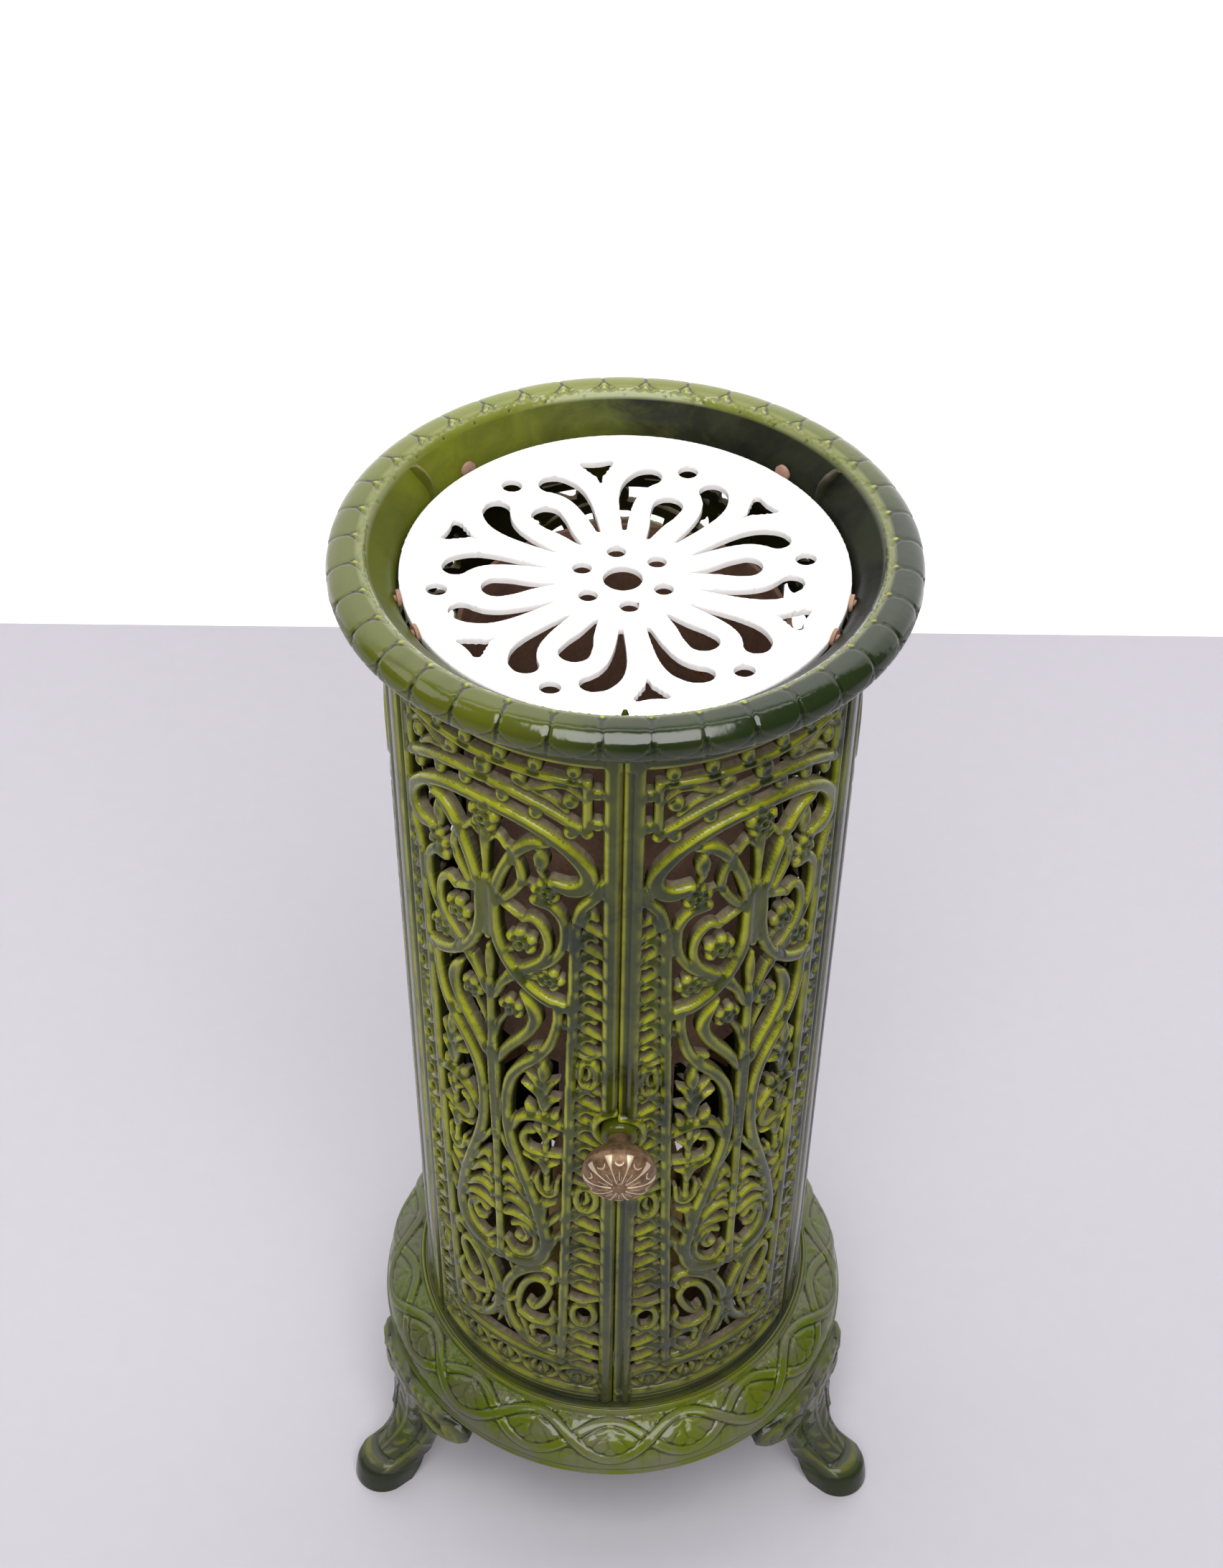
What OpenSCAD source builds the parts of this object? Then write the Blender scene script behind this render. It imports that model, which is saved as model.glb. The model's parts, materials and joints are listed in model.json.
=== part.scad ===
// Round cast-iron kerosene heater: three feet, a base ring, an openwork body
// with two front doors, a rolled top ring, a lift-out grille, and inside it a
// fuel tank, a round-wick burner, a chimney and a hanging heat drum.
// The origin is on the floor under the body's axis; the front faces -Y.

/* [Body] */
// Outer radius of the cast openwork body
body_r = 130; // [124:1:136]
// Thickness of the body panels and doors
panel_t = 8; // [7:0.5:9]
// Height of the seat that the panels and doors stand on
seat_z = 130; // [126:1:134]
// Height of the panels above the seat
body_h = 586; // [560:2:620]
// Angle from the front seam to a door's hinge edge
door_a = 65.8; // [62:0.2:67]
// Angle from the front seam to the seam between a side panel and the rear one
rear_seam_a = 144; // [140:1:148]

/* [Base ring and feet] */
// Outer radius of the base ring
base_r = 160; // [156:1:166]
// Height of the base ring's underside above the floor
base_z = 94; // [88:1:98]
// Distance from the axis to the middle of a foot's round toe
toe_r = 191; // [182:1:198]
// Radius of a toe, seen from above
toe_w = 19.5; // [15:0.5:24]
// Angle from the front to each front foot
foot_a = 57.4; // [52:1:66]

/* [Top ring and grille] */
// Outer radius of the rolled rim
rim_r = 154; // [150:1:158]
// Radius of the lift-out grille
grille_r = 117.4; // [116:0.2:117.6]
// Thickness of the grille
grille_t = 5; // [4:0.5:6]
// Number of repeats of the grille pattern
grille_n = 6; // [6]

/* [Knob and latch] */
// Radius of the door knob
knob_r = 21; // [18:0.5:23]
// Height of the knob's axis above the floor
knob_z = 421; // [400:1:440]

/* [Burner] */
// Radius of the fuel tank
tank_r = 74; // [66:1:80]
// Outer radius of the round wick
wick_r = 22.6; // [22.2:0.1:23]
// Travel of the wick
wick_travel = 12; // [8:1:14]

/* [Heat drum] */
// Outer radius of the hanging heat drum
drum_r = 88; // [80:1:92]
// Height of the heat drum
drum_h = 260; // [220:5:270]

/* [Hidden] */

$fn = 96;
eps = 0.01;                       // overlap that makes a cut run past a face
run_gap = 0.05;                   // radial clearance of a running fit
seam_gap = 1;                     // gap around the doors
bed_gap = 0.03;                   // gap where one casting stands on another
panel_top = seat_z + body_h;
panel_in = body_r - panel_t;

// Castings
seat_t = 8;                       // thickness of the base ring's seat flange
seat_in = 110;                    // inner radius of the seat flange
shell_t = 7;                      // thickness of the base ring's shell
shell_r = base_r - (body_r + 2);  // radius of the shell's quarter round
wall_in = 118.4;                  // inner radius of the bowl's straight wall
wall_t = 3.4;                     // thickness of the bowl wall
spigot_h = 16;                    // depth of the bowl wall inside the panels
grille_z = panel_top + 9.4;       // underside of the grille
lug_w = 16;                       // width of a lug that carries the grille
rim_top = panel_top + 33;         // height of the rim's crest

// Door hinges
pin_r = 2.5;
barrel_r = 3.7;
hinge_r = body_r - barrel_r;
hinge_a = door_a - asin(barrel_r / hinge_r);
pin_deep = 12;                    // length of a hinge pin inside the door

// Openwork of a 148 mm wide casting: distances along its face from its edge
field_w = 148;
rope_v = 18.5;                    // middle of the inner row of leaves
rope_out_v = 132;                 // middle of the outer row of leaves
stem_v = 76;                      // middle of the main field
side_field_a = 74;                // angle where a side panel's openwork starts
rear_field_a = 180 - field_w / 2 / body_r * 180 / PI;

// Fasteners
bolt_r = 3;
screw_r = 2;
tab_angles = [76, 134];           // tabs at the top of each side panel
plug_angles = [62];               // screws that only plug a hole in the top ring
tab_z = panel_top + 14;

// Burner
tray_t = 1.5;
tank_z = seat_z + tray_t;
tank_h = 56;
burner_z = tank_z + tank_h;
wick_t = 3.2;
tube_t = 1;
tube_gap = 0.3;                   // gap between the wick and each tube
wick_z = burner_z - 32;
wick_h = 104;
tube_top = wick_z + wick_h + 2;
pinion_r = 4;
shaft_z = burner_z + 20;
shaft_r = 2;
bearing_y = 36;                   // distance of the shaft's bearing plate from the axis
pinion_h = 6;
wheel_y = -92;
neck_x = 52;
neck_y = 22;
neck_top = tank_z + 58;
skirt_h = 6;                      // depth of the filler cap's skirt
chimney_r = 36;
chimney_z = burner_z + 42;
chimney_h = 176;
drum_z = panel_top - 26 - drum_h;
drum_t = 1.2;

green = [0.33, 0.42, 0.10];
white = [0.95, 0.95, 0.93];
bronze = [0.55, 0.45, 0.33];
rust = [0.36, 0.22, 0.15];
steel = [0.50, 0.50, 0.50];
brass = [0.72, 0.56, 0.28];

// Turns a child from the front (-Y) to an angle counted towards +X.
module at(a) rotate([0, 0, a]) children();

// Ring of radius r_in to r_out between two heights.
module ring(r_in, r_out, z0, z1) difference() {
    translate([0, 0, z0]) cylinder(r = r_out, h = z1 - z0);
    translate([0, 0, z0 - eps]) cylinder(r = r_in, h = z1 - z0 + 2 * eps);
}

// Curved plate between two angles, radii and heights.
module sector(a0, a1, r_in, r_out, z0, z1)
    rotate([0, 0, a0 - 90]) rotate_extrude(angle = a1 - a0)
        translate([r_in, z0]) square([r_out - r_in, z1 - z0]);

// Radial bar of a round section that cuts or joins outwards at an angle.
module radial_pin(a, z, r, r0, r1)
    at(a) translate([0, -r0, z]) rotate([90, 0, 0]) cylinder(r = r, h = r1 - r0);

// Upright slot with round ends.
module slot(w, h) {
    square([w, max(h - w, eps)], center = true);
    for (s = [-1, 1]) translate([0, s * (h - w) / 2]) circle(d = w, $fn = 32);
}

// Cuts a slot through a casting: v runs along its face, z upwards.
module window(dir, a0, v, z, w, h, lie = 0)
    at(a0 + dir * v / body_r * 180 / PI)
        translate([0, -panel_in + 4, z]) rotate([90, lie, 0])
            linear_extrude(panel_t + 8) slot(w, h);

// Openwork field, from its edge at angle a0 towards dir.
module openwork(dir, a0) {
    low = seat_z + 42;
    for (i = [0 : 11]) for (v = [rope_v, rope_out_v])
        window(dir, a0, v, low + 22 + 38 * i, 9, 30);
    for (v = [14, 36, 58, 94, 116, 136])
        window(dir, a0, v, panel_top - 18, 6, 14, 90);
    for (v = [34, 76, 118])
        window(dir, a0, v, panel_top - 34, 8, 32, 90);
    for (s = [-1, 1]) {
        window(dir, a0, stem_v + s * 30, panel_top - 74, 20, 44);
        window(dir, a0, stem_v + s * 11, panel_top - 82, 10, 36);
        window(dir, a0, stem_v + s * 28, panel_top - 140, 22, 62);
        window(dir, a0, stem_v + s * 12, panel_top - 205, 13, 52);
        window(dir, a0, stem_v + s * 33, panel_top - 215, 13, 62);
        window(dir, a0, stem_v + s * 37, panel_top - 300, 12, 84);
        window(dir, a0, stem_v + s * 13, panel_top - 290, 10, 70);
        window(dir, a0, stem_v + s * 12, panel_top - 395, 14, 100);
        window(dir, a0, stem_v + s * 37, panel_top - 385, 9, 68);
        window(dir, a0, stem_v + s * 14, panel_top - 490, 16, 54);
        window(dir, a0, stem_v + s * 36, panel_top - 485, 12, 70);
    }
    for (v = [24, 50, 76, 102, 126])
        window(dir, a0, v, seat_z + 26, 9, 20, 90);
}

// Base ring: quarter-round shell, inner seat flange and lower flange.
module base_profile() {
    intersection() {
        translate([body_r + 2, base_z + 4]) difference() {
            circle(r = shell_r);
            circle(r = shell_r - shell_t);
        }
        translate([body_r + 2 - eps, base_z + 3]) square([shell_r + 1, shell_r + 1]);
    }
    translate([seat_in, seat_z - seat_t]) square([body_r + 5 - seat_in, seat_t]);
    translate([body_r + 1, base_z]) square([base_r - body_r - 2, shell_t]);
    translate([base_r - 3.2, base_z + 3.2]) circle(r = 3.2, $fn = 32);
}
module base_ring() color(green) difference() {
    union() {
        rotate_extrude() base_profile();
        for (a = [-foot_a, foot_a, 180]) at(a)
            translate([-24, -base_r + 6, base_z]) cube([48, 22, shell_t]);
    }
    for (s = [-1, 1]) at(s * hinge_a)
        translate([0, -hinge_r, seat_z - seat_t - 1]) cylinder(r = pin_r + run_gap, h = seat_t + 2);
    for (a = [-foot_a, foot_a, 180]) for (x = [-13, 13])
        at(a) translate([x, -bolt_pitch_r, base_z - 1]) cylinder(r = bolt_r + run_gap, h = 12);
}
bolt_pitch_r = body_r + 16;

// Foot: side, front and plan outlines meet in one curved leg with wide ears.
function bez(p, t) = (1 - t) ^ 3 * p[0] + 3 * t * (1 - t) ^ 2 * p[1]
    + 3 * t ^ 2 * (1 - t) * p[2] + t ^ 3 * p[3];
function curve(p, n = 10) = [for (i = [0 : n - 1]) bez(p, i / n)];
function mirrored(pts) = [for (i = [len(pts) - 1 : -1 : 0]) [-pts[i][0], pts[i][1]]];

module foot_side() {
    knee = base_r + 4;
    tip = toe_r + toe_w;
    polygon(concat(
        curve([[knee, base_z], [knee + 4, base_z - 14], [knee + 2, base_z - 26], [knee + 4, 56]]),
        curve([[knee + 4, 56], [knee + 7, 42], [toe_r - 11, 33], [toe_r, 25]]),
        curve([[toe_r, 25], [toe_r + 7, 20], [toe_r + 13, 21], [tip - 3, 16]], 6),
        [[tip - 3, 16], [tip, 4], [tip, 0], [toe_r - 13, 0]],
        curve([[toe_r - 13, 0], [knee + 10, 6], [knee, 18], [knee - 6, 36]]),
        curve([[knee - 6, 36], [knee - 11, 56], [knee - 14, 62], [body_r + 4, base_z - 12]]),
        [[body_r + 4, base_z - 12], [body_r + 4, base_z]]
    ));
}
module foot_front() {
    half = concat(
        [[0, -1], [toe_w, -1]],
        curve([[toe_w, -1], [toe_w, 20], [17.5, 28], [21, 36]]),
        curve([[21, 36], [25, 46], [26, 54], [32, base_z - 30]]),
        curve([[32, base_z - 30], [38, base_z - 24], [54, base_z - 26], [56, base_z - 11]]),
        curve([[56, base_z - 11], [57, base_z - 4], [52, base_z - 1], [46, base_z]]),
        [[46, base_z], [46, base_z + 1], [0, base_z + 1]]
    );
    polygon(half);
    polygon(mirrored(half));
}
module foot_plan() {
    circle(r = base_r + 6);
    translate([0, -toe_r]) circle(r = toe_w);
    polygon([[-28, -base_r + 30], [-28, -base_r], [-toe_w, -toe_r],
        [toe_w, -toe_r], [28, -base_r], [28, -base_r + 30]]);
}
module foot(a) color(green) at(a) difference() {
    intersection() {
        rotate([90, 0, -90]) translate([0, 0, -60]) linear_extrude(120) foot_side();
        rotate([90, 0, 0]) linear_extrude(toe_r + toe_w + 10) foot_front();
        linear_extrude(base_z) foot_plan();
    }
    for (x = [-13, 13]) translate([x, -bolt_pitch_r, base_z - 13])
        cylinder(r = bolt_r + run_gap, h = 14);
}
module foot_front_left() foot(-foot_a);
module foot_front_right() foot(foot_a);
module foot_rear() foot(180);
module foot_bolts() color(steel) for (a = [-foot_a, foot_a, 180]) for (x = [-13, 13])
    at(a) translate([x, -bolt_pitch_r, 0]) {
        translate([0, 0, base_z - 12]) cylinder(r = bolt_r, h = 12 + shell_t);
        translate([0, 0, base_z + shell_t]) cylinder(r = 5.5, h = 4, $fn = 6);
    }

// Sheet tray on the seat flange; it carries the fuel tank and lets air in.
module floor_tray() color(steel) difference() {
    union() {
        translate([0, 0, seat_z]) cylinder(r = panel_in - 2, h = tray_t);
        ring(panel_in - 4, panel_in - 2, seat_z, seat_z + 5);
    }
    for (a = [0 : 30 : 330]) at(a) translate([0, -95, seat_z - 1]) cylinder(r = 6, h = 4);
}

// Fixed panels of the body
module tab(a) sector(a - 4, a + 4, body_r - 6, body_r - 1, panel_top - 4, panel_top + 20);
module side_panel(s) color(green) difference() {
    union() {
        if (s > 0) sector(door_a + 0.45, rear_seam_a - 0.1, panel_in, body_r, bed_z0, bed_z1);
        else sector(-rear_seam_a + 0.1, -door_a - 0.45, panel_in, body_r, bed_z0, bed_z1);
        for (a = tab_angles) tab(s * a);
    }
    openwork(s, s * side_field_a);
    for (a = tab_angles) radial_pin(s * a, tab_z, screw_r + run_gap, body_r - 8, body_r + 1);
    for (z = strap_zs) radial_pin(s * (rear_seam_a - 3), z, screw_r + run_gap, panel_in - 2, body_r + 1);
    radial_pin(s * 110, bracket_z, screw_r + run_gap, panel_in - 2, body_r + 1);
}
strap_zs = [seat_z + 90, panel_top - 70];
bracket_z = panel_top - 56;
bed_z0 = seat_z + bed_gap;
bed_z1 = panel_top - bed_gap;
module panel_side_left() side_panel(-1);
module panel_side_right() side_panel(1);
module panel_rear() color(green) difference() {
    sector(rear_seam_a + 0.1, 360 - rear_seam_a - 0.1, panel_in, body_r, bed_z0, bed_z1);
    openwork(1, rear_field_a);
    for (z = strap_zs) for (s = [-1, 1])
        radial_pin(180 + s * (180 - rear_seam_a - 3), z, screw_r + run_gap, panel_in - 2, body_r + 1);
    radial_pin(180, bracket_z, screw_r + run_gap, panel_in - 2, body_r + 1);
}

// Flat straps inside the two rear seams, with their screws
module seam_straps() color(rust) for (s = [-1, 1]) for (z = strap_zs) difference() {
    sector(s * rear_seam_a - 5, s * rear_seam_a + 5, panel_in - 2, panel_in, z - 8, z + 8);
    for (d = [-3, 3]) radial_pin(s * rear_seam_a + d, z, screw_r + run_gap, panel_in - 5, body_r);
}
module screw(a, z, r0, r1, head = 4) {
    radial_pin(a, z, screw_r, r0, r1);
    radial_pin(a, z, head, r0 - 2, r0);
}
module strap_screws() color(rust) for (s = [-1, 1]) for (z = strap_zs) for (d = [-3, 3])
    screw(s * rear_seam_a + d, z, panel_in - 2.4, body_r - 1);

// Top ring: bowl wall, seat on the panels and hollow rolled rim
module ring_profile() {
    z = panel_top;
    outer = concat(
        curve([[wall_in, z + 4], [wall_in + 2, z + 14], [wall_in + 10, z + 20], [133, z + 29]]),
        curve([[133, z + 29], [135, z + 33], [137, rim_top], [140, rim_top]]),
        curve([[140, rim_top], [147, z + 32.5], [rim_r, z + 27], [rim_r, z + 20]]),
        [[rim_r, z + 20], [rim_r - 3, z + 15.5]]
    );
    inner = concat(
        [[rim_r - 4.2, z + 19]],
        curve([[rim_r - 4.2, z + 21], [rim_r - 4.5, z + 25], [146, z + 28], [140, z + 28.6]]),
        curve([[140, z + 28.6], [137, z + 28.4], [137, z + 27], [wall_in + 12, z + 19]]),
        [[wall_in + wall_t + 2, z + 12], [wall_in + wall_t, z + 4]]
    );
    polygon(concat(outer, inner));
    translate([wall_in, z - spigot_h]) square([wall_t, spigot_h + 5]);
    translate([wall_in, z]) square([body_r + 3 - wall_in, 4]);
}
module top_ring() color(green) difference() {
    union() {
        rotate_extrude() ring_profile();
        for (a = [-150, 150, 0]) at(a)
            translate([-lug_w / 2, -wall_in - 1, panel_top]) cube([lug_w, 14, grille_z - panel_top]);
    }
    for (s = [-1, 1]) at(s * hinge_a)
        translate([0, -hinge_r, panel_top - 1]) cylinder(r = pin_r + run_gap, h = 8);
    for (s = [-1, 1]) {
        for (a = tab_angles)
            at(s * a) translate([-10, -body_r + 0.5, panel_top - 1]) cube([20, 6.2, 26]);
        for (a = concat(plug_angles, tab_angles))
            radial_pin(s * a, tab_z, screw_r + run_gap, wall_in - 4, body_r);
    }
    at(0) translate([0, -peg_pitch, panel_top + 3]) cylinder(r = peg_r, h = 24);
}
peg_r = 1.8;
peg_pitch = grille_r + 2.3;
module ring_screws() color(rust) for (s = [-1, 1]) for (a = concat(plug_angles, tab_angles))
    screw(s * a, tab_z, wall_in + 1.6, body_r - 2, 4.6);
module grille_peg() color(green)
    translate([0, -peg_pitch, panel_top + 3]) cylinder(r = peg_r, h = 18, $fn = 32);

// Grille: straight drops, curved drops, fans and round holes in six repeats
function drop(y0, y1, w0, w1, lean) = let (m = (y0 + y1) / 2) concat(
    curve([[-w0, y0], [-w0 + lean / 3, m - 4], [-w1 + lean, m], [-w1 + lean, y1]], 8),
    [for (i = [0 : 6]) [lean + w1 * cos(180 - 30 * i), y1 + w1 * sin(180 - 30 * i)]],
    curve([[w1 + lean, y1 - 0.5], [w1 + lean, m], [w0 + lean / 3, m - 4], [w0, y0]], 8)
);
module grille() color(white) difference() {
    translate([0, 0, grille_z]) cylinder(r = grille_r, h = grille_t, $fn = 192);
    for (k = [0 : grille_n - 1]) translate([0, 0, grille_z - 1]) rotate([0, 0, 8.5 + 60 * k]) {
        translate([grille_r * 0.81, 0, 0]) cylinder(r = 5.6, h = 9, $fn = 32);
        rotate([0, 0, 30]) translate([grille_r * 0.19, 0, 0]) cylinder(r = 5, h = 9, $fn = 32);
        rotate([0, 0, -90]) linear_extrude(9) {
            polygon(drop(38, 76, 1.6, 8, 0));
            for (s = [-1, 1]) rotate(s * 17) polygon(drop(36, 84, 1.5, 7, s * 5));
            rotate(30) translate([0, 100]) polygon([[0, -14], [8, 3], [0, 6], [-8, 3]]);
        }
    }
    translate([0, 0, grille_z - 1]) cylinder(r = grille_r * 0.09, h = 9, $fn = 48);
}

// Doors: openwork shell with a rounded hinge edge around the pins
door_z0 = seat_z + seam_gap;
door_z1 = panel_top - seam_gap;
module door_shell() difference() {
    union() {
        sector(-hinge_a, -0.25, panel_in, body_r, door_z0, door_z1);
        at(-hinge_a) translate([0, -hinge_r, door_z0]) cylinder(r = barrel_r, h = door_z1 - door_z0);
    }
    openwork(-1, 0);
    for (z = [door_z0 - 1, door_z1 - pin_deep]) at(-hinge_a)
        translate([0, -hinge_r, z]) cylinder(r = pin_r, h = pin_deep + 1);
}
boss_x = 1;
boss_r = 10.5;
module along_y(x, z, y0, y1, r) translate([x, -y0, z]) rotate([90, 0, 0]) cylinder(r = r, h = y1 - y0);
module door_left() color(green) difference() {
    door_shell();
    along_y(boss_x, knob_z, panel_in - 12, body_r + 12, boss_r + 1.2);
}
module door_right() color(green) difference() {
    union() {
        mirror([1, 0, 0]) door_shell();
        along_y(boss_x, knob_z, panel_in - 3, body_r + 4, boss_r);
    }
    along_y(boss_x, knob_z, panel_in - 12, body_r + 12, spindle_r + run_gap);
}
module hinge_pins(s) color(steel) at(s * hinge_a) translate([0, -hinge_r, 0]) {
    translate([0, 0, seat_z - seat_t]) cylinder(r = pin_r, h = seat_t + seam_gap + pin_deep - 1);
    translate([0, 0, door_z1 - pin_deep]) cylinder(r = pin_r, h = pin_deep + seam_gap + 4);
}
module hinge_pins_left() hinge_pins(-1);
module hinge_pins_right() hinge_pins(1);

// Knob, spindle and turning tongue behind the door edge
spindle_r = 3;
knob_back = body_r + 17;
tongue_y = panel_in - 4.6;
module knob() color(bronze) translate([boss_x, -knob_back, knob_z]) rotate([90, 0, 0]) difference() {
    rotate_extrude() {
        translate([0, -13]) square([7.2, 14]);
        polygon(concat(
            [[0, 0], [8, 0]],
            curve([[8, 0], [14, 0], [knob_r, 4], [knob_r, 9.6]], 8),
            curve([[knob_r, 9.6], [knob_r, 15], [14, 18.4], [4, 19.8]], 8),
            [[4, 19.8], [3.6, 21.2], [0, 21.6]]
        ));
    }
    translate([0, 0, -14]) cylinder(r = spindle_r, h = 21);
}
module latch_spindle() color(steel)
    along_y(boss_x, knob_z, tongue_y - 8, knob_back + 7 - eps, spindle_r);
module latch_washer() color(steel) difference() {
    along_y(boss_x, knob_z, tongue_y, tongue_y + 1.5, 8);
    along_y(boss_x, knob_z, tongue_y - 1, tongue_y + 3, spindle_r);
}
module latch_tongue() color(steel) difference() {
    union() {
        along_y(boss_x, knob_z, tongue_y - 3, tongue_y, 7);
        translate([boss_x - 4.5, -tongue_y, knob_z - 28]) cube([9, 3, 28]);
    }
    along_y(boss_x, knob_z, tongue_y - 5, tongue_y + 2, spindle_r);
}
module latch_nut() color(steel) difference() {
    translate([boss_x, -tongue_y + 3, knob_z]) rotate([-90, 0, 0]) cylinder(r = 5.6, h = 4, $fn = 6);
    along_y(boss_x, knob_z, tongue_y - 9, tongue_y, spindle_r);
}

// Heat drum: sheet cylinder with a folded seam, open at both ends
module heat_drum() color(rust) union() {
    ring(drum_r - drum_t, drum_r, drum_z, drum_z + drum_h);
    ring(drum_r - 6, drum_r + 1.4, drum_z - 3, drum_z + 1);
    ring(drum_r - drum_t, drum_r + 1.4, drum_z + drum_h - 3, drum_z + drum_h);
    sector(150, 155, drum_r - 0.4, drum_r + 1, drum_z + 0.5, drum_z + drum_h - 2);
}
bracket_angles = [-110, 110, 180];
module drum_brackets() color(rust) for (a = bracket_angles) at(a) difference() {
    union() {
        translate([-7, -panel_in + 0.5, bracket_z - 9]) cube([14, panel_in - drum_r - 2, 2]);
        translate([-7, -drum_r - 2.4, bracket_z - 9]) cube([14, 2, 18]);
        translate([-7, -panel_in + 0.5, bracket_z - 9]) cube([14, 2, 18]);
    }
    translate([0, -drum_r + 4, bracket_z]) rotate([90, 0, 0]) cylinder(r = screw_r, h = 40);
}
module drum_rivets() color(rust) for (a = bracket_angles) {
    radial_pin(a, bracket_z, screw_r, drum_r - 0.4, drum_r + 3.4);
    radial_pin(a, bracket_z, 3.6, drum_r + 2.4, drum_r + 4);
}
module bracket_screws() color(rust) for (a = bracket_angles)
    screw(a, bracket_z, panel_in - 2.5, body_r - 1);

// Fuel tank and filler
module tank_outline(inset) polygon(concat(
    [[0, inset], [tank_r - inset, inset]],
    curve([[tank_r - inset, inset], [tank_r - inset, 26], [tank_r - 2 - inset, 38 - inset],
        [tank_r - 18, 42 - inset]], 8),
    curve([[tank_r - 18, 42 - inset], [44, 50 - inset], [34, tank_h - inset], [0, tank_h - inset]], 8)
));
module fuel_tank() color(brass) translate([0, 0, tank_z]) difference() {
    rotate_extrude() tank_outline(0);
    rotate_extrude() difference() {
        tank_outline(1.2);
        square([wick_r - wick_t - tube_gap, tank_h]);
    }
    translate([0, 0, -1]) cylinder(r = wick_r - wick_t - tube_gap - tube_t, h = tank_h + 2);
    translate([0, 0, tank_h - 4]) ring(wick_r - wick_t - tube_gap, wick_r + tube_gap, 0, 6);
    translate([neck_x, neck_y, 30]) cylinder(r = 8, h = 40, $fn = 48);
}
module filler_neck() color(brass) translate([neck_x, neck_y, 0]) difference() {
    union() {
        translate([0, 0, tank_z + 34]) cylinder(r = 8, h = neck_top - tank_z - 34);
    }
    translate([0, 0, tank_z + 33]) cylinder(r = 6.5, h = 30);
}
module filler_cap() color(brass) translate([neck_x, neck_y, neck_top + 0.6]) difference() {
    union() {
        cylinder(r = 12, h = 5, $fn = 12);
        translate([0, 0, -skirt_h]) cylinder(r = 10.5, h = skirt_h);
    }
    translate([0, 0, -skirt_h - 1]) cylinder(r = 8.4, h = skirt_h + 1.6);
}
module cap_seal() color("black") translate([neck_x, neck_y, neck_top])
    difference() {
        cylinder(r = 8.2, h = 1.1);
        translate([0, 0, -1]) cylinder(r = 5, h = 3);
    }

// Burner: outer wick tube with its gallery, inner draught tube and wick
module burner_body() color(brass) difference() {
    union() {
        ring(wick_r + tube_gap, wick_r + tube_gap + tube_t, burner_z - 1.2, tube_top);
        ring(wick_r + tube_gap, bearing_y + 1, burner_z, burner_z + 4);
        ring(wick_r + tube_gap, chimney_r + 6, chimney_z - 4, chimney_z - 1);
        translate([-6, -bearing_y, burner_z]) cube([12, 3.4, 26]);
    }
    for (a = [0 : 20 : 340]) at(a) translate([0, -30, chimney_z - 6]) cylinder(r = 3, h = 8, $fn = 24);
    translate([0, 0, burner_z - 4]) cylinder(r = wick_r + tube_gap, h = 60);
    translate([0, -60, shaft_z]) rotate([-90, 0, 0]) cylinder(r = shaft_r + run_gap, h = 60);
}
module inner_draught_tube() color(brass)
    ring(wick_r - wick_t - tube_gap - tube_t, wick_r - wick_t - tube_gap, tank_z, tube_top);
module wick() color(white)
    ring(wick_r - wick_t, wick_r, wick_z, wick_z + wick_h);
module wick_shaft() color(steel)
    translate([0, wheel_y - 2, shaft_z]) rotate([-90, 0, 0]) cylinder(r = shaft_r, h = -wheel_y - 26);
module wick_wheel() color(brass) translate([0, wheel_y, shaft_z]) rotate([-90, 0, 0]) difference() {
    cylinder(r = 11, h = 4);
    for (a = [0 : 20 : 340]) rotate([0, 0, a]) translate([11.6, 0, -1]) cylinder(r = 1.2, h = 6, $fn = 24);
    translate([0, 0, -1]) cylinder(r = shaft_r, h = 6);
}
module wick_pinion() color(steel) translate([0, -wick_r - 8, shaft_z]) rotate([-90, 0, 0]) difference() {
    cylinder(r = pinion_r, h = pinion_h);
    for (a = [0 : 45 : 315]) rotate([0, 0, a]) translate([pinion_r + 0.4, 0, -1]) cylinder(r = 1, h = 10, $fn = 24);
    translate([0, 0, -1]) cylinder(r = shaft_r, h = 10);
}
module flame_spreader() color(steel) {
    translate([0, 0, tube_top + 8]) cylinder(r = 17, h = 2);
    translate([0, 0, tube_top - 14]) cylinder(r = wick_r - wick_t - tube_gap - tube_t - run_gap, h = 4);
    translate([0, 0, tube_top - 12]) cylinder(r = 3, h = 21);
}
module chimney() color(rust) difference() {
    union() {
        ring(chimney_r, chimney_r + 1.2, chimney_z - 0.9, chimney_z + chimney_h);
        ring(chimney_r, chimney_r + 4, chimney_z - 0.9, chimney_z + 0.6);
    }
    translate([-11, -chimney_r - 6, chimney_z + 24]) cube([22, 16, 36]);
}
module mica_window() color([0.85, 0.8, 0.7, 0.5])
    sector(-24, 24, chimney_r - 0.8, chimney_r - 0.1, chimney_z + 19, chimney_z + 65);

base_ring();
foot_front_left();
foot_front_right();
foot_rear();
foot_bolts();
floor_tray();
panel_side_left();
panel_side_right();
panel_rear();
seam_straps();
strap_screws();
top_ring();
ring_screws();
grille_peg();
grille();
door_left();
door_right();
hinge_pins_left();
hinge_pins_right();
knob();
latch_spindle();
latch_washer();
latch_tongue();
latch_nut();
heat_drum();
drum_brackets();
drum_rivets();
bracket_screws();
fuel_tank();
filler_neck();
filler_cap();
cap_seal();
burner_body();
inner_draught_tube();
wick();
wick_wheel();
wick_shaft();
wick_pinion();
flame_spreader();
chimney();
mica_window();
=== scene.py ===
import json
import math

import bpy
import numpy as np
from mathutils import Matrix, Vector


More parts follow.
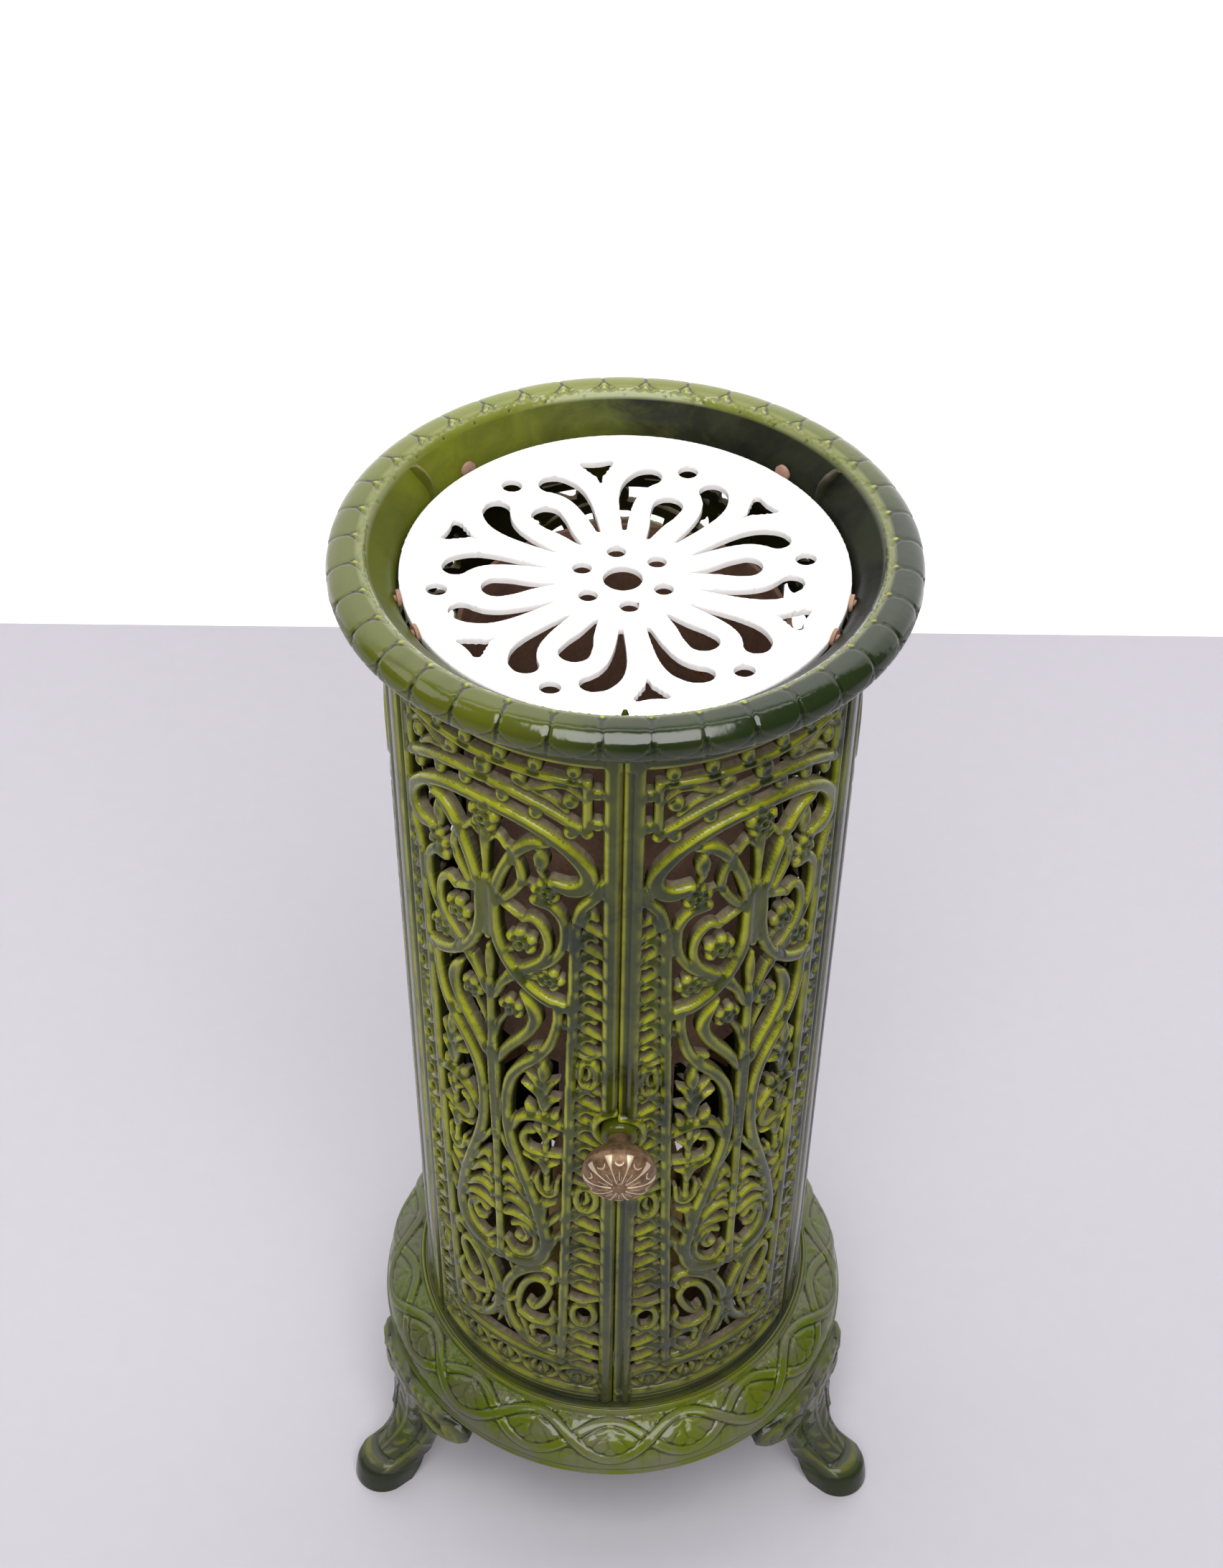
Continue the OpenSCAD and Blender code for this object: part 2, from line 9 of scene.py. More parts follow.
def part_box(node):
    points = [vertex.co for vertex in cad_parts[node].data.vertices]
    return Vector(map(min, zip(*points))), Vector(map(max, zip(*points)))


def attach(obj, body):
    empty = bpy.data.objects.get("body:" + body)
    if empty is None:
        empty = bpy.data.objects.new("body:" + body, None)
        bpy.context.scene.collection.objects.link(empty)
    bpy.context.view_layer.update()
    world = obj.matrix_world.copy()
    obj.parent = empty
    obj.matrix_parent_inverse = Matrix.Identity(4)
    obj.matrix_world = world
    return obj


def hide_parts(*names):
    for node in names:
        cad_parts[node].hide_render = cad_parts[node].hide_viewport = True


# Looks for a round cast-iron kerosene heater: openwork castings with raised
# ornament, a leafy rim, a ribboned base ring, scrolled feet and glazed enamel.
# Ornament is drawn in millimetres as height fields and then bent into place.
# Blender objects are in metres; +Z is up and the front faces -Y.

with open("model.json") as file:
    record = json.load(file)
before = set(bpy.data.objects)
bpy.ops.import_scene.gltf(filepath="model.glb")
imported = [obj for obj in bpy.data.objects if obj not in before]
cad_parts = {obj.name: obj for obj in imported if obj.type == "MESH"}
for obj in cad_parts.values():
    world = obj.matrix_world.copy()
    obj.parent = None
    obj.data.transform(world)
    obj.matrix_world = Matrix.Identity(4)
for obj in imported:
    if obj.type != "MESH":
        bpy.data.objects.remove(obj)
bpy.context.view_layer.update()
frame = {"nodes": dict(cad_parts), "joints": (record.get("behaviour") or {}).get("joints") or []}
MM = 0.001


def box_mm(node):
    """Lowest and highest corners of a CAD node, in millimetres."""
    low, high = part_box(node)
    return np.array(low) / MM, np.array(high) / MM


# ---------------------------------------------------------------- sizes, mm
BODY_R = box_mm("panel_rear")[1][1]
DOOR_Z0, DOOR_Z1 = box_mm("door_left")[0][2], box_mm("door_left")[1][2]
PANEL_Z0, PANEL_Z1 = box_mm("panel_rear")[0][2], box_mm("panel_rear")[1][2]
HINGE = [j for j in frame["joints"] if j["name"] == "door_right_hinge"][0]["pos_m"]
HINGE_R = math.hypot(HINGE[0], HINGE[1]) / MM
HINGE_A = math.atan2(HINGE[0], -HINGE[1])
BARREL_R = BODY_R - HINGE_R
BACK_R = BODY_R - 7.8          # radius of a casting's flat back
FINE, COARSE = 1.0, 1.5        # grids of the doors and of the fixed panels
FIELD_W = 148.0                # width of one openwork field
STEM = 76.8                    # middle of the main field
RAISE = 8.2                    # height of the tallest ornament over the back
REAR_SEAM = math.radians(144)  # seams of the rear panel, from the front
TOE_W = 19.5                   # radius of a toe, seen from above
FOOT_A = 57.4                  # angle of the front feet, degrees
RIM_LEAVES = 38                # scales round the rim
RIBBONS = 18                   # crossings of the two ribbons round the base ring
RIM_TURN, BASE_TURN = math.radians(5.0), math.radians(9.5)    # where their tiles start
RIM_R, BASE_R = 146, 150       # mean radii of the ornament on rim and base ring
KNOB_RAYS = 10                 # long rays on the knob's face
HUG_R = 166                    # radius the upper part of a foot follows


# ------------------------------------------------------------ height fields
class Relief:
    """Height over a flat back and distance inside the outline, on a grid."""

    def __init__(self, u, z, cell, home=None):
        self.u, self.z, self.cell, self.home = u, z, cell, home
        self.h = np.zeros((len(z), len(u)))
        self.s = np.full(self.h.shape, -9.0)

    def window(self, u0, u1, z0, z1):
        """Rows and columns of the grid between two corners."""
        return slice(*np.searchsorted(self.z, [z0, z1])), slice(*np.searchsorted(self.u, [u0, u1]))

    def part(self, u0, u1, z0, z1):
        """Empty relief over a window of this grid."""
        rows, cols = self.window(u0, u1, z0, z1)
        return Relief(self.u[cols], self.z[rows], self.cell, (rows, cols))

    def merge(self, layer, cut):
        """Lays a part over the relief, with a crease along its outline."""
        old_h, old_s = self.h[layer.home], self.s[layer.home]
        crease = np.where(layer.s > 0.5, 0.8, np.exp(-(np.maximum(-layer.s, 0) / 0.95) ** 2))
        old_h = old_h - cut * crease * (old_s > 0) * (layer.s > -3.5)
        self.h[layer.home] = np.maximum(old_h, layer.h)
        self.s[layer.home] = np.maximum(old_s, layer.s)

    def near(self, x, y, reach):
        """Window round a point and the distances from the point in it."""
        rows, cols = self.window(x - reach, x + reach, y - reach, y + reach)
        return (rows, cols), np.hypot(self.u[None, cols] - x, self.z[rows, None] - y)

    def stamp(self, x, y, r, shape):
        """One round stamp: shape(d / r) gives its height."""
        at, d = self.near(x, y, r + 2.5)
        self.s[at] = np.maximum(self.s[at], r - d)
        self.h[at] = np.maximum(self.h[at], shape(np.minimum(d / r, 1.25)))

    def add(self, x, y, r, shape):
        """Adds height inside a round stamp, without growing the outline."""
        at, d = self.near(x, y, r)
        self.h[at] += np.where(d < r, shape(np.minimum(d / r, 1)), 0)

    def rect(self, u0, u1, z0, z1, h):
        """Flat rectangle."""
        d = np.minimum(np.minimum(self.u[None] - u0, u1 - self.u[None]),
                       np.minimum(self.z[:, None] - z0, z1 - self.z[:, None]))
        self.s = np.maximum(self.s, np.maximum(d, -9))
        self.h = np.where(d > -1.5, np.maximum(self.h, h), self.h)


def relief(u0, u1, z0, z1, cell):
    """Empty relief between two corners."""
    u, z = (np.linspace(a, b, int(round((b - a) / cell)) + 1) for a, b in ((u0, u1), (z0, z1)))
    return Relief(u, z, cell)


def strap(h, flat=0.5, low=0.62):
    """Flat-topped bar with rounded edges."""
    def f(q):
        t = np.clip((q - flat) / (1 - flat), 0, 1)
        return h * (low + (1 - low) * np.sqrt(1 - t * t))
    return f


def dome(h, low=0.5):
    """Rounded top."""
    return lambda q: h * (low + (1 - low) * np.sqrt(1 - np.clip(q, 0, 1) ** 2))


def spline(points, step=0.8):
    """Evenly sampled Catmull-Rom curve through points of any dimension."""
    p = np.array(points, float)
    if len(p) == 2:
        t = np.linspace(0, 1, max(2, int(np.hypot(*(p[1] - p[0])[:2]) / step) + 1))[:, None]
        return p[0] * (1 - t) + p[1] * t
    p = np.vstack([2 * p[0] - p[1], p, 2 * p[-1] - p[-2]])
    out = []
    for a, b, c, d in zip(p[:-3], p[1:-2], p[2:-1], p[3:]):
        n = max(2, int(np.hypot(*(c - b)[:2]) / step))
        t = np.linspace(0, 1, n, endpoint=False)[:, None]
        out.append(0.5 * (2 * b + (c - a) * t + (2 * a - 5 * b + 4 * c - d) * t ** 2
                          + (3 * b - a - 3 * c + d) * t ** 3))
    return np.vstack(out + [p[-2][None]])


def stroke(rel, points, half, h=7.2, shape=strap, cut=1.0):
    """Bar along a curve, laid over what is there; half may be one for each point."""
    half = [half] * len(points) if np.isscalar(half) else half
    curve = spline([(x, y, w) for (x, y), w in zip(points, half)])
    reach = curve[:, 2].max() + 2.5
    (x0, y0), (x1, y1) = curve[:, :2].min(0) - reach, curve[:, :2].max(0) + reach
    layer = rel.part(x0, x1, y0, y1)
    for x, y, w in curve:
        layer.stamp(x, y, max(w, 0.9), shape(h))
    rel.merge(layer, cut)


class Pen:
    """Draws on one side of a field; x counts from the stem outwards."""

    def __init__(self, rel, side):
        self.rel, self.side = rel, side

    def bar(self, points, half, h=7.2, shape=strap):
        """Stroke of a half-width, or one for each point, h high over the back."""
        stroke(self.rel, [(STEM + self.side * x, y) for x, y in points], half, h, shape)

    def leaf(self, points, half, h=7.2):
        self.bar(points, half, h, dome)

    def flower(self, x, y, r, h, turn):
        flower(self.rel, STEM + self.side * x, y, r, h, turn * self.side)

    def bead(self, x, y, r):
        bead(self.rel, STEM + self.side * x, y, r)


def flower(rel, x, y, r, h=7.6, turn=0.0):
    """Five domed petals around a raised ring with a hollow eye."""
    reach = r + 3
    layer = rel.part(x - reach, x + reach, y - reach, y + reach)
    for k in range(5):
        a = turn + math.pi / 2 + k * 2 * math.pi / 5
        for d, g in ((0.42, 0.34), (0.64, 0.40)):
            layer.stamp(x + d * r * math.cos(a), y + d * r * math.sin(a), g * r, dome(h, 0.42))
    layer.stamp(x, y, 0.36 * r, strap(h - 1.4, 0.9, 0.95))
    layer.add(x, y, 0.55 * r, lambda q: 1.7 * np.exp(-((q - 0.46) / 0.17) ** 2)
              - 1.2 * np.exp(-((q - 0.84) / 0.16) ** 2) - 1.0 * np.exp(-(q / 0.2) ** 2))
    rel.merge(layer, 1.4)


def bead(rel, x, y, r, h=6.6):
    """Round stud with a dimple."""
    stroke(rel, [(x, y - 0.2), (x, y + 0.2)], r, h + 0.6, dome, cut=1.3)
    rel.add(x, y, 0.55 * r, lambda q: -1.8 * (1 - q * q))


# ------------------------------------------------------- ornament of a field
def frieze(rel):
    """Bars, beads and corner scrolls under the top rail."""
    for side in (-1, 1):
        pen = Pen(rel, side)
        pen.bar([(0, 693.5), (30, 693.5), (58.5, 692.3)], 2.6, 6.8)
        pen.bar([(58.5, 693), (58.5, 656)], 2.7, 6.8)
        pen.bar([(0, 677.5), (20, 675.6), (40, 668.8), (59, 657.5)], 3.1, 6.8)
        for x, y, r in ((11, 699.6, 4.2), (31, 699.6, 4.2), (51.5, 699.4, 4.2), (63.5, 686, 3.9),
                        (63.5, 664.5, 3.9), (21.5, 685.4, 4.6), (12, 670.6, 4.2), (31, 666.2, 4.2),
                        (50, 656.8, 4.2)):
            pen.bead(x, y, r)
        pen.leaf([(21, 684), (28, 681.5), (35, 684.5), (42, 688), (49, 687.5), (55, 682)],
                [2.6, 2.2, 2.1, 2.1, 2.0, 1.8], 6.0)
        pen.leaf([(30, 681), (38, 679), (44, 675), (48, 671)], [1.6, 2.4, 2.2, 1.6], 5.8)
        pen.bead(49.8, 678.6, 4.6)
    bead(rel, STEM, 685.4, 5.6)


def whiplash(pen):
    """Arched bar that ends in a broad hook, and the bar that runs down from it."""
    pen.bar([(0, 661.8), (14, 661), (28, 657.3), (42, 649.5), (53, 639), (59.2, 628.5), (57.5, 619.5),
            (50, 615.8), (40, 618.3)], [3.6, 3.6, 3.7, 3.8, 4.2, 4.8, 5.2, 5.0, 3.2], 7.8)
    pen.bar([(67.5, 623), (63, 612), (56, 602), (52.4, 588)], [2.6, 3.6, 3.4, 3.3], 7.2)
    pen.bar([(52.4, 588), (42, 172)], 3.3, 7.2)


def crown(pen):
    """Palm arms, lens loops, buds and flowers above the trunk."""
    pen.bar([(3.5, 585), (6.5, 602), (12, 619), (19, 633), (28, 643), (40, 647.5)],
            [3.4, 3.4, 3.4, 3.7, 3.9, 2.2], 7.8)
    pen.bar([(7, 590), (16, 601), (22, 613), (20.5, 625), (15, 634)], [2.6, 2.8, 2.9, 2.7, 2.2], 6.6)
    pen.leaf([(3, 634), (8, 640), (13.5, 634)], [1.6, 2.2, 1.8], 6.4)
    pen.leaf([(33, 624), (33.5, 632.5), (33, 641)], [2.4, 4.7, 1.6], 7.4)
    pen.leaf([(36, 612), (33, 626)], 1.8, 6.0)
    pen.leaf([(36, 610), (22, 612)], 2.0, 5.6)
    pen.flower(36, 610, 9.0, 7.4, 0.3)


def circles(pen):
    """Looped circles with the large flowers, and the swoosh across them."""
    pen.bar([(30, 601.5), (39, 599.5), (45.5, 590), (46, 574), (41, 560), (30, 548), (18, 537.5),
            (8.5, 526), (2.5, 512)], [3.6, 3.4, 3.1, 3.0, 2.9, 2.9, 2.9, 2.7, 2.4], 6.9)
    pen.bar([(7, 594), (12, 590), (18, 587), (22.5, 583.5)], [2.4, 2.4, 2.6, 2.2], 6.6)
    pen.bar([(22.5, 583.5), (28, 586.5), (34.5, 580), (36.8, 568), (33.5, 556.5), (25.5, 548),
            (17.5, 541.5)], [2.2, 2.7, 2.8, 2.7, 2.6, 2.5, 2.3], 6.5)
    pen.flower(21.6, 566, 9.6, 7.6, 0.2)
    pen.leaf([(16.5, 558), (8, 551)], 1.9, 5.8)
    pen.bar([(2.8, 600), (3.6, 585), (4.6, 571), (8, 556.5), (15, 543), (26, 531.5), (36, 525),
            (45.8, 521.4)], [3.6, 4.4, 3.8, 3.5, 3.5, 3.6, 3.8, 4.4], 8.1)
    pen.flower(38, 541.5, 8.6, 7.4, -0.3)
    pen.leaf([(31, 540), (24, 538.5)], 1.9, 5.8)


def vase(pen):
    """Waisted strap from the swoosh's end down to the round bowl."""
    pen.bar([(42.5, 521), (41.5, 505), (37.5, 488), (30, 474), (20, 461.5), (12.5, 447), (9, 430),
            (8.2, 412), (9.6, 395), (13.5, 377), (19.4, 357), (26, 334), (31, 311), (32.6, 293),
            (28.6, 279), (18, 270.5), (0, 267.5)],
            [3.0, 3.2, 3.4, 3.5, 3.6, 3.7, 3.6, 3.6, 3.6, 3.7, 3.8, 3.9, 4.0, 4.2, 4.4, 4.6, 4.6], 7.6)
    pen.bar([(0, 392), (5, 384), (12, 371)], 1.9, 6.4)


def stalk(rel):
    """Middle stem with its grooves, the crown's neck and the small spike."""
    x = STEM
    flower(rel, x, 650, 10.2, 8.0)
    stroke(rel, [(x, 642), (x, 636), (x, 622), (x, 604)], [2.6, 3.6, 2.4, 1.6], 7.4, dome)
    stroke(rel, [(x, 606), (x, 560)], [3.0, 2.4], 7.0)
    stroke(rel, [(x, 552), (x, 540), (x, 522)], [1.4, 3.3, 1.8], 7.2, dome)
    stroke(rel, [(x, 524), (x, 500), (x, 462)], [2.4, 2.7, 3.6], 7.0)
    stroke(rel, [(x, 462), (x, 440), (x, 400), (x, 385)], [4.4, 4.4, 3.8, 3.2], 7.0)
    stroke(rel, [(x, 388), (x, 330), (x, 270)], [2.6, 2.5, 3.0], 7.2)
    for side in (-1, 1):
        stroke(rel, [(x + side * 2.6, 470), (x + side * 2.8, 440), (x + side * 2.2, 396)], 0.9, 8.0, dome)


def arms(pen):
    """Leafy arms and small flowers that spring from the waist."""
    pen.leaf([(3, 457), (11, 472.5), (20, 485.5), (26, 496), (28.5, 506), (25.5, 516.5), (20.5, 524.5)],
            [3.0, 3.5, 3.6, 3.9, 4.6, 3.8, 1.2], 7.8)
    pen.leaf([(1.5, 510), (6, 521), (11.5, 537)], [1.8, 3.2, 1.0], 7.4)
    pen.flower(13.6, 507.5, 8.4, 7.0, 0.25)
    pen.leaf([(10, 500), (4.5, 488), (1, 474)], 1.9, 6.0)
    pen.leaf([(25, 478), (33, 481)], [2.0, 3.2], 6.6)
    pen.leaf([(44.5, 505), (47.5, 505)], 3.4, 6.4)


def sprig(pen):
    """Leafy plant between the vase and the field's edge."""
    pen.bar([(33, 452), (33, 440), (33.4, 400), (34, 352)], [1.6, 2.0, 2.1, 2.0], 6.4)
    pen.leaf([(33, 452), (33, 461), (33, 470)], [2.2, 4.2, 1.4], 7.2)
    for base, tip, half, bow in (
            ((32, 438), (22.5, 457), 3.2, -0.15), ((34, 438), (42, 457), 3.2, 0.15),
            ((32, 428), (19.5, 446.5), 4.2, -0.25), ((34, 428), (43, 441), 3.6, 0.2),
            ((27, 418), (21.5, 429), 3.8, 0.0), ((37, 418), (41, 427), 3.4, 0.0),
            ((33, 396), (26, 409), 2.6, -0.2), ((34, 396), (41, 407), 2.6, 0.2),
            ((33, 367), (19, 380.5), 3.8, -0.3), ((34, 367), (41.5, 380), 3.2, 0.25),
            ((31, 322), (39.5, 341), 4.0, 0.25), ((29, 352), (24.5, 358), 2.6, 0.0)):
        (bx, by), (tx, ty) = base, tip
        middle = (bx + tx) / 2 + bow * (by - ty), (by + ty) / 2 + bow * (tx - bx)
        pen.leaf([base, middle, tip], [half * 0.45, half, half * 0.25], 7.0)
    pen.leaf([(12, 401), (17, 412), (26, 418.5), (36, 418.5), (45, 414)], [2.4, 3.0, 3.4, 3.4, 2.4], 7.7)
    pen.leaf([(43, 387.5), (32, 385.8), (22, 386), (18.6, 393.5), (21, 401.5), (26.5, 404)],
            [2.2, 2.2, 2.6, 2.7, 2.3, 1.6], 6.8)
    pen.leaf([(27.2, 361), (28.6, 351.5), (34, 346.5), (39.4, 351), (40.6, 362)], [1.6, 2.3, 2.6, 2.3, 1.6],
            6.8)
    pen.rel.stamp(STEM + pen.side * 34.2, 353.5, 3.2, dome(7.2))
    pen.leaf([(42, 309), (38, 301), (35, 291)], [1.4, 2.8, 2.0], 6.6)
    pen.leaf([(43, 330), (38, 322), (33, 314)], [1.2, 2.4, 1.6], 6.2)


def bowl(pen):
    """Rows of small scrolls and the two spirals inside the vase."""
    for y, reach, half in ((361.5, 15.5, 2.4), (346.5, 20, 2.9), (328.5, 24.5, 3.1)):
        pen.leaf([(reach + 1, y - 11), (reach * 0.78, y - 3), (reach * 0.5, y + 1.5), (5.2, y - 1.5),
                (5.0, y - 6)], [1.8, half, half + 0.5, half, 1.6], 7.2)
    pen.leaf([(28, 304), (22, 313), (12, 315.5), (4, 312)], [2.0, 2.8, 3.0, 1.8], 7.0)
    pen.leaf([(12, 337), (7, 338.5), (5, 335)], 1.5, 6.2)
    pen.leaf([(4.6, 284), (11, 276), (20, 279.5), (25.5, 290), (24, 302), (16.5, 307.5), (9.5, 304)],
            [1.8, 2.2, 2.5, 2.5, 2.4, 2.2, 1.8], 6.8)
    pen.leaf([(16.5, 307), (20.5, 299), (17, 292), (12.6, 293.6)], [1.8, 2.2, 2.4, 2.4], 6.6)


def calyx(pen):
    """Straps, tilted loops and curled ends below the bowl."""
    pen.bar([(1.5, 221), (4, 236), (9.5, 250), (18, 261.5), (28, 269), (36, 269.5), (39, 263), (36, 256.5)],
            [3.4, 3.6, 3.5, 3.3, 3.1, 2.9, 2.5, 1.8], 7.4)
    pen.leaf([(0, 221), (6, 222), (10, 226.5)], [2.6, 2.5, 1.8], 8.4)
    pen.bar([(13, 208), (11.8, 222), (15, 240), (22, 253), (30, 256), (34.5, 247), (30.5, 233), (24, 224),
            (19.5, 228)], [2.2, 2.5, 2.7, 2.7, 2.6, 2.6, 2.5, 2.3, 1.7], 6.8)
    pen.bar([(13, 214), (22, 209), (32, 210.5), (37.5, 219), (35.5, 228.5)], [2.2, 2.7, 2.8, 2.6, 1.6], 7.2)
    pen.bar([(2.5, 219), (4.5, 206), (10, 194.5), (19, 186), (30, 181), (40, 178.5)],
            [3.4, 3.5, 3.4, 3.2, 3.0, 2.6], 7.4)
    pen.bar([(30, 184), (36.5, 191), (36, 201), (28.5, 205.5), (22, 200.5), (23, 192)],
            [2.2, 2.6, 2.7, 2.6, 2.4, 1.7], 7.0)
    pen.leaf([(14, 204), (17, 197), (18, 188)], [1.8, 2.2, 1.8], 6.2)
    pen.leaf([(1, 204), (2.5, 195), (5, 187.5)], [2.0, 1.8, 1.0], 6.4)
    pen.leaf([(6, 262), (9, 256), (16, 268)], 1.3, 5.6)


def lattice(rel):
    """Low band of ovals and ribs over the bottom rail."""
    half_w = 42
    stroke(rel, [(STEM - half_w, 172), (STEM + half_w, 172)], 3.2, 7.2)
    for k in (-2, -1, 0, 1, 2):
        x = STEM + 26.5 * k
        ring = [(x + 13 * math.cos(a), 158.5 + 9 * math.sin(a)) for a in np.linspace(0, 2 * math.pi, 14)]
        stroke(rel, ring, 2.1, 6.6)
        for side in (-1, 1):
            stroke(rel, [(x + side * 2, 150), (x + side * 4.6, 157), (x + side * 2.5, 164)],
                   [1.6, 2.6, 1.2], 6.8, dome)
        stroke(rel, [(x, 149), (x, 154)], 2.2, 6.4, dome)


def edge_w(z):
    """Distance from the stem to the middle of the field's edge bar."""
    return 42 + (z - 172) * 0.025


def rope(pen, stile):
    """Column of curled leaves and oval loops between a stile and the edge bar."""
    loops = (467, 350, 229)
    z = 592.0
    while z > 150:
        inner = edge_w(z) + 3.0
        mid, wide = (stile + inner) / 2, (stile - inner) / 2
        near = min(loops, key=lambda v: abs(v - z))
        if abs(near - z) < 19:
            z -= 3
            continue
        pen.leaf([(mid + wide + 0.6, z - 10), (mid + 0.5, z - 6), (mid - wide * 0.75, z),
                (mid - wide * 0.1, z + 6), (mid + wide * 0.55, z + 2.5)], [1.4, 2.6, 3.1, 2.5, 1.5], 7.0)
        pen.leaf([(mid - wide - 0.5, z + 5), (mid - wide * 0.2, z + 8)], 1.5, 5.4)
        z -= 16.6
    for y in loops:
        inner = edge_w(y) + 3.0
        mid, wide = (stile + inner) / 2, (stile - inner) / 2
        turn = np.linspace(-0.6 * math.pi, 1.25 * math.pi, 16)
        pen.bar([(mid + 0.4 - (wide * 0.72) * math.cos(a), y + 11.5 * math.sin(a)) for a in turn], 2.3, 7.2)
        pen.leaf([(mid + 0.5, y + 7), (mid + 1.6, y), (mid - 1, y - 5)], [1.2, 2.2, 1.4], 6.4)
        pen.leaf([(mid - wide, y + 16), (mid, y + 14), (mid + wide, y + 18)], 1.8, 6.2)
        pen.leaf([(mid + wide, y - 17), (mid, y - 14), (mid - wide, y - 16)], 1.8, 6.2)


def field(cell):
    """The ornament that every body casting shares, on one grid."""
    rel = relief(0, FIELD_W, PANEL_Z0, PANEL_Z1, cell)
    frieze(rel)
    for side in (-1, 1):
        pen = Pen(rel, side)
        rope(pen, 66.4 if side < 0 else 64.0)
        for draw in (sprig, bowl, calyx, arms, crown, circles, whiplash, vase):
            draw(pen)
    stalk(rel)
    lattice(rel)
    return rel


# ------------------------------------------------------------- mesh from field
def drop_chips(rel):
    """Removes parts of a relief that touch nothing else."""
    inside = rel.s > 0
    label = np.where(inside, np.arange(1, inside.size + 1).reshape(inside.shape), 0)
    old = None
    while old is None or (label != old).any():
        old = label
        for axis in (0, 1):
            for step in (-1, 1):
                label = np.where(inside, np.maximum(label, np.roll(label, step, axis)), 0)
        label = np.where(inside, label.ravel()[label - 1], 0)
    main = np.bincount(label[inside]).argmax()
    rel.s[inside & (label != main)] = -1.0


def contour_mesh(rel, min_h=3.0):
    """Closed mesh of a height field: points are (u, z, h), attributes follow.

    Marching squares cuts the outline; walls drop to the flat back in two
    steps, so that smooth shading rounds only the upper edge.
    """
    s = rel.s.copy()
    tight = 0.16 * rel.cell
    s[np.abs(s) < tight] = np.where(s[np.abs(s) < tight] >= 0, tight, -tight)
    s[0, :] = s[-1, :] = s[:, 0] = s[:, -1] = -tight
    inside = s > 0
    nz, nu = s.shape
    uu, zz = np.meshgrid(rel.u, rel.z)
    h = np.maximum(rel.h, min_h)
    corner = -np.ones(s.shape, int)
    corner[inside] = np.arange(inside.sum())
    pts = [np.stack([uu[inside], zz[inside], h[inside]], 1)]
    att = [s[inside]]
    count = int(inside.sum())

    def crossing(sl_a, sl_b):
        nonlocal count
        sa, sb = s[sl_a], s[sl_b]
        mask = (sa > 0) != (sb > 0)
        t = (sa / (sa - sb + 1e-12))[mask]
        pa = np.stack([uu[sl_a][mask], zz[sl_a][mask]], 1)
        pb = np.stack([uu[sl_b][mask], zz[sl_b][mask]], 1)
        ha = np.where(sa[mask] > 0, h[sl_a][mask], h[sl_b][mask])
        ids = -np.ones(sa.shape, int)
        ids[mask] = count + np.arange(mask.sum())
        count += int(mask.sum())
        pts.append(np.column_stack([pa * (1 - t[:, None]) + pb * t[:, None],
                                    np.maximum(ha * 0.88, min_h)]))
        att.append(np.zeros(mask.sum()))
        return ids

    hor = crossing((slice(None), slice(0, nu - 1)), (slice(None), slice(1, nu)))
    ver = crossing((slice(0, nz - 1), slice(None)), (slice(1, nz), slice(None)))
    first_edge = int(inside.sum())
    top = np.vstack(pts)
    near = np.concatenate(att)

    bl, br = corner[:-1, :-1], corner[:-1, 1:]
    tl, tr = corner[1:, :-1], corner[1:, 1:]
    b, t = hor[:-1], hor[1:]
    lft, rgt = ver[:, :-1], ver[:, 1:]
    code = (inside[:-1, :-1] * 1 + inside[:-1, 1:] * 2 + inside[1:, 1:] * 4 + inside[1:, :-1] * 8)
    polys = {
        1: [(bl, b, lft)], 2: [(br, rgt, b)], 3: [(bl, br, rgt, lft)], 4: [(tr, t, rgt)],
        5: [(bl, b, lft), (tr, t, rgt)], 6: [(br, tr, t, b)], 7: [(bl, br, tr, t, lft)],
        8: [(tl, lft, t)], 9: [(bl, b, t, tl)], 10: [(br, rgt, b), (tl, lft, t)],
        11: [(bl, br, rgt, t, tl)], 12: [(lft, rgt, tr, tl)], 13: [(bl, b, rgt, tr, tl)],
        14: [(br, tr, tl, lft, b)], 15: [(bl, br, tr, tl)]}
    edges = [id(e) for e in (b, t, lft, rgt)]
    faces, walls = [], []
    for key, lists in polys.items():
        m = code == key
        for poly in lists:
            faces.append(np.stack([p[m] for p in poly], 1))
            for p, q in zip(poly, poly[1:] + poly[:1]):
                if id(p) in edges and id(q) in edges:
                    walls.append(np.stack([p[m], q[m]], 1))
    walls = np.vstack(walls)

    n = len(top)
    ring = np.column_stack([top[first_edge:, :2], np.maximum(top[first_edge:, 2] - 1.5, 0.5 * min_h)])
    back = np.column_stack([top[:, :2], np.zeros(n)])
    verts = np.vstack([top, ring, back])
    to_ring = lambda v: v - first_edge + n
    to_back = lambda v: v + n + len(ring)
    p, q = walls[:, 0], walls[:, 1]
    groups = list(faces)
    groups += [to_back(f)[:, ::-1] for f in faces]
    groups.append(np.stack([q, p, to_ring(p), to_ring(q)], 1))
    groups.append(np.stack([to_ring(q), to_ring(p), to_back(p), to_back(q)], 1))
    rim = np.concatenate([near, np.zeros(len(ring)), np.zeros(n)])
    return verts, groups, rim


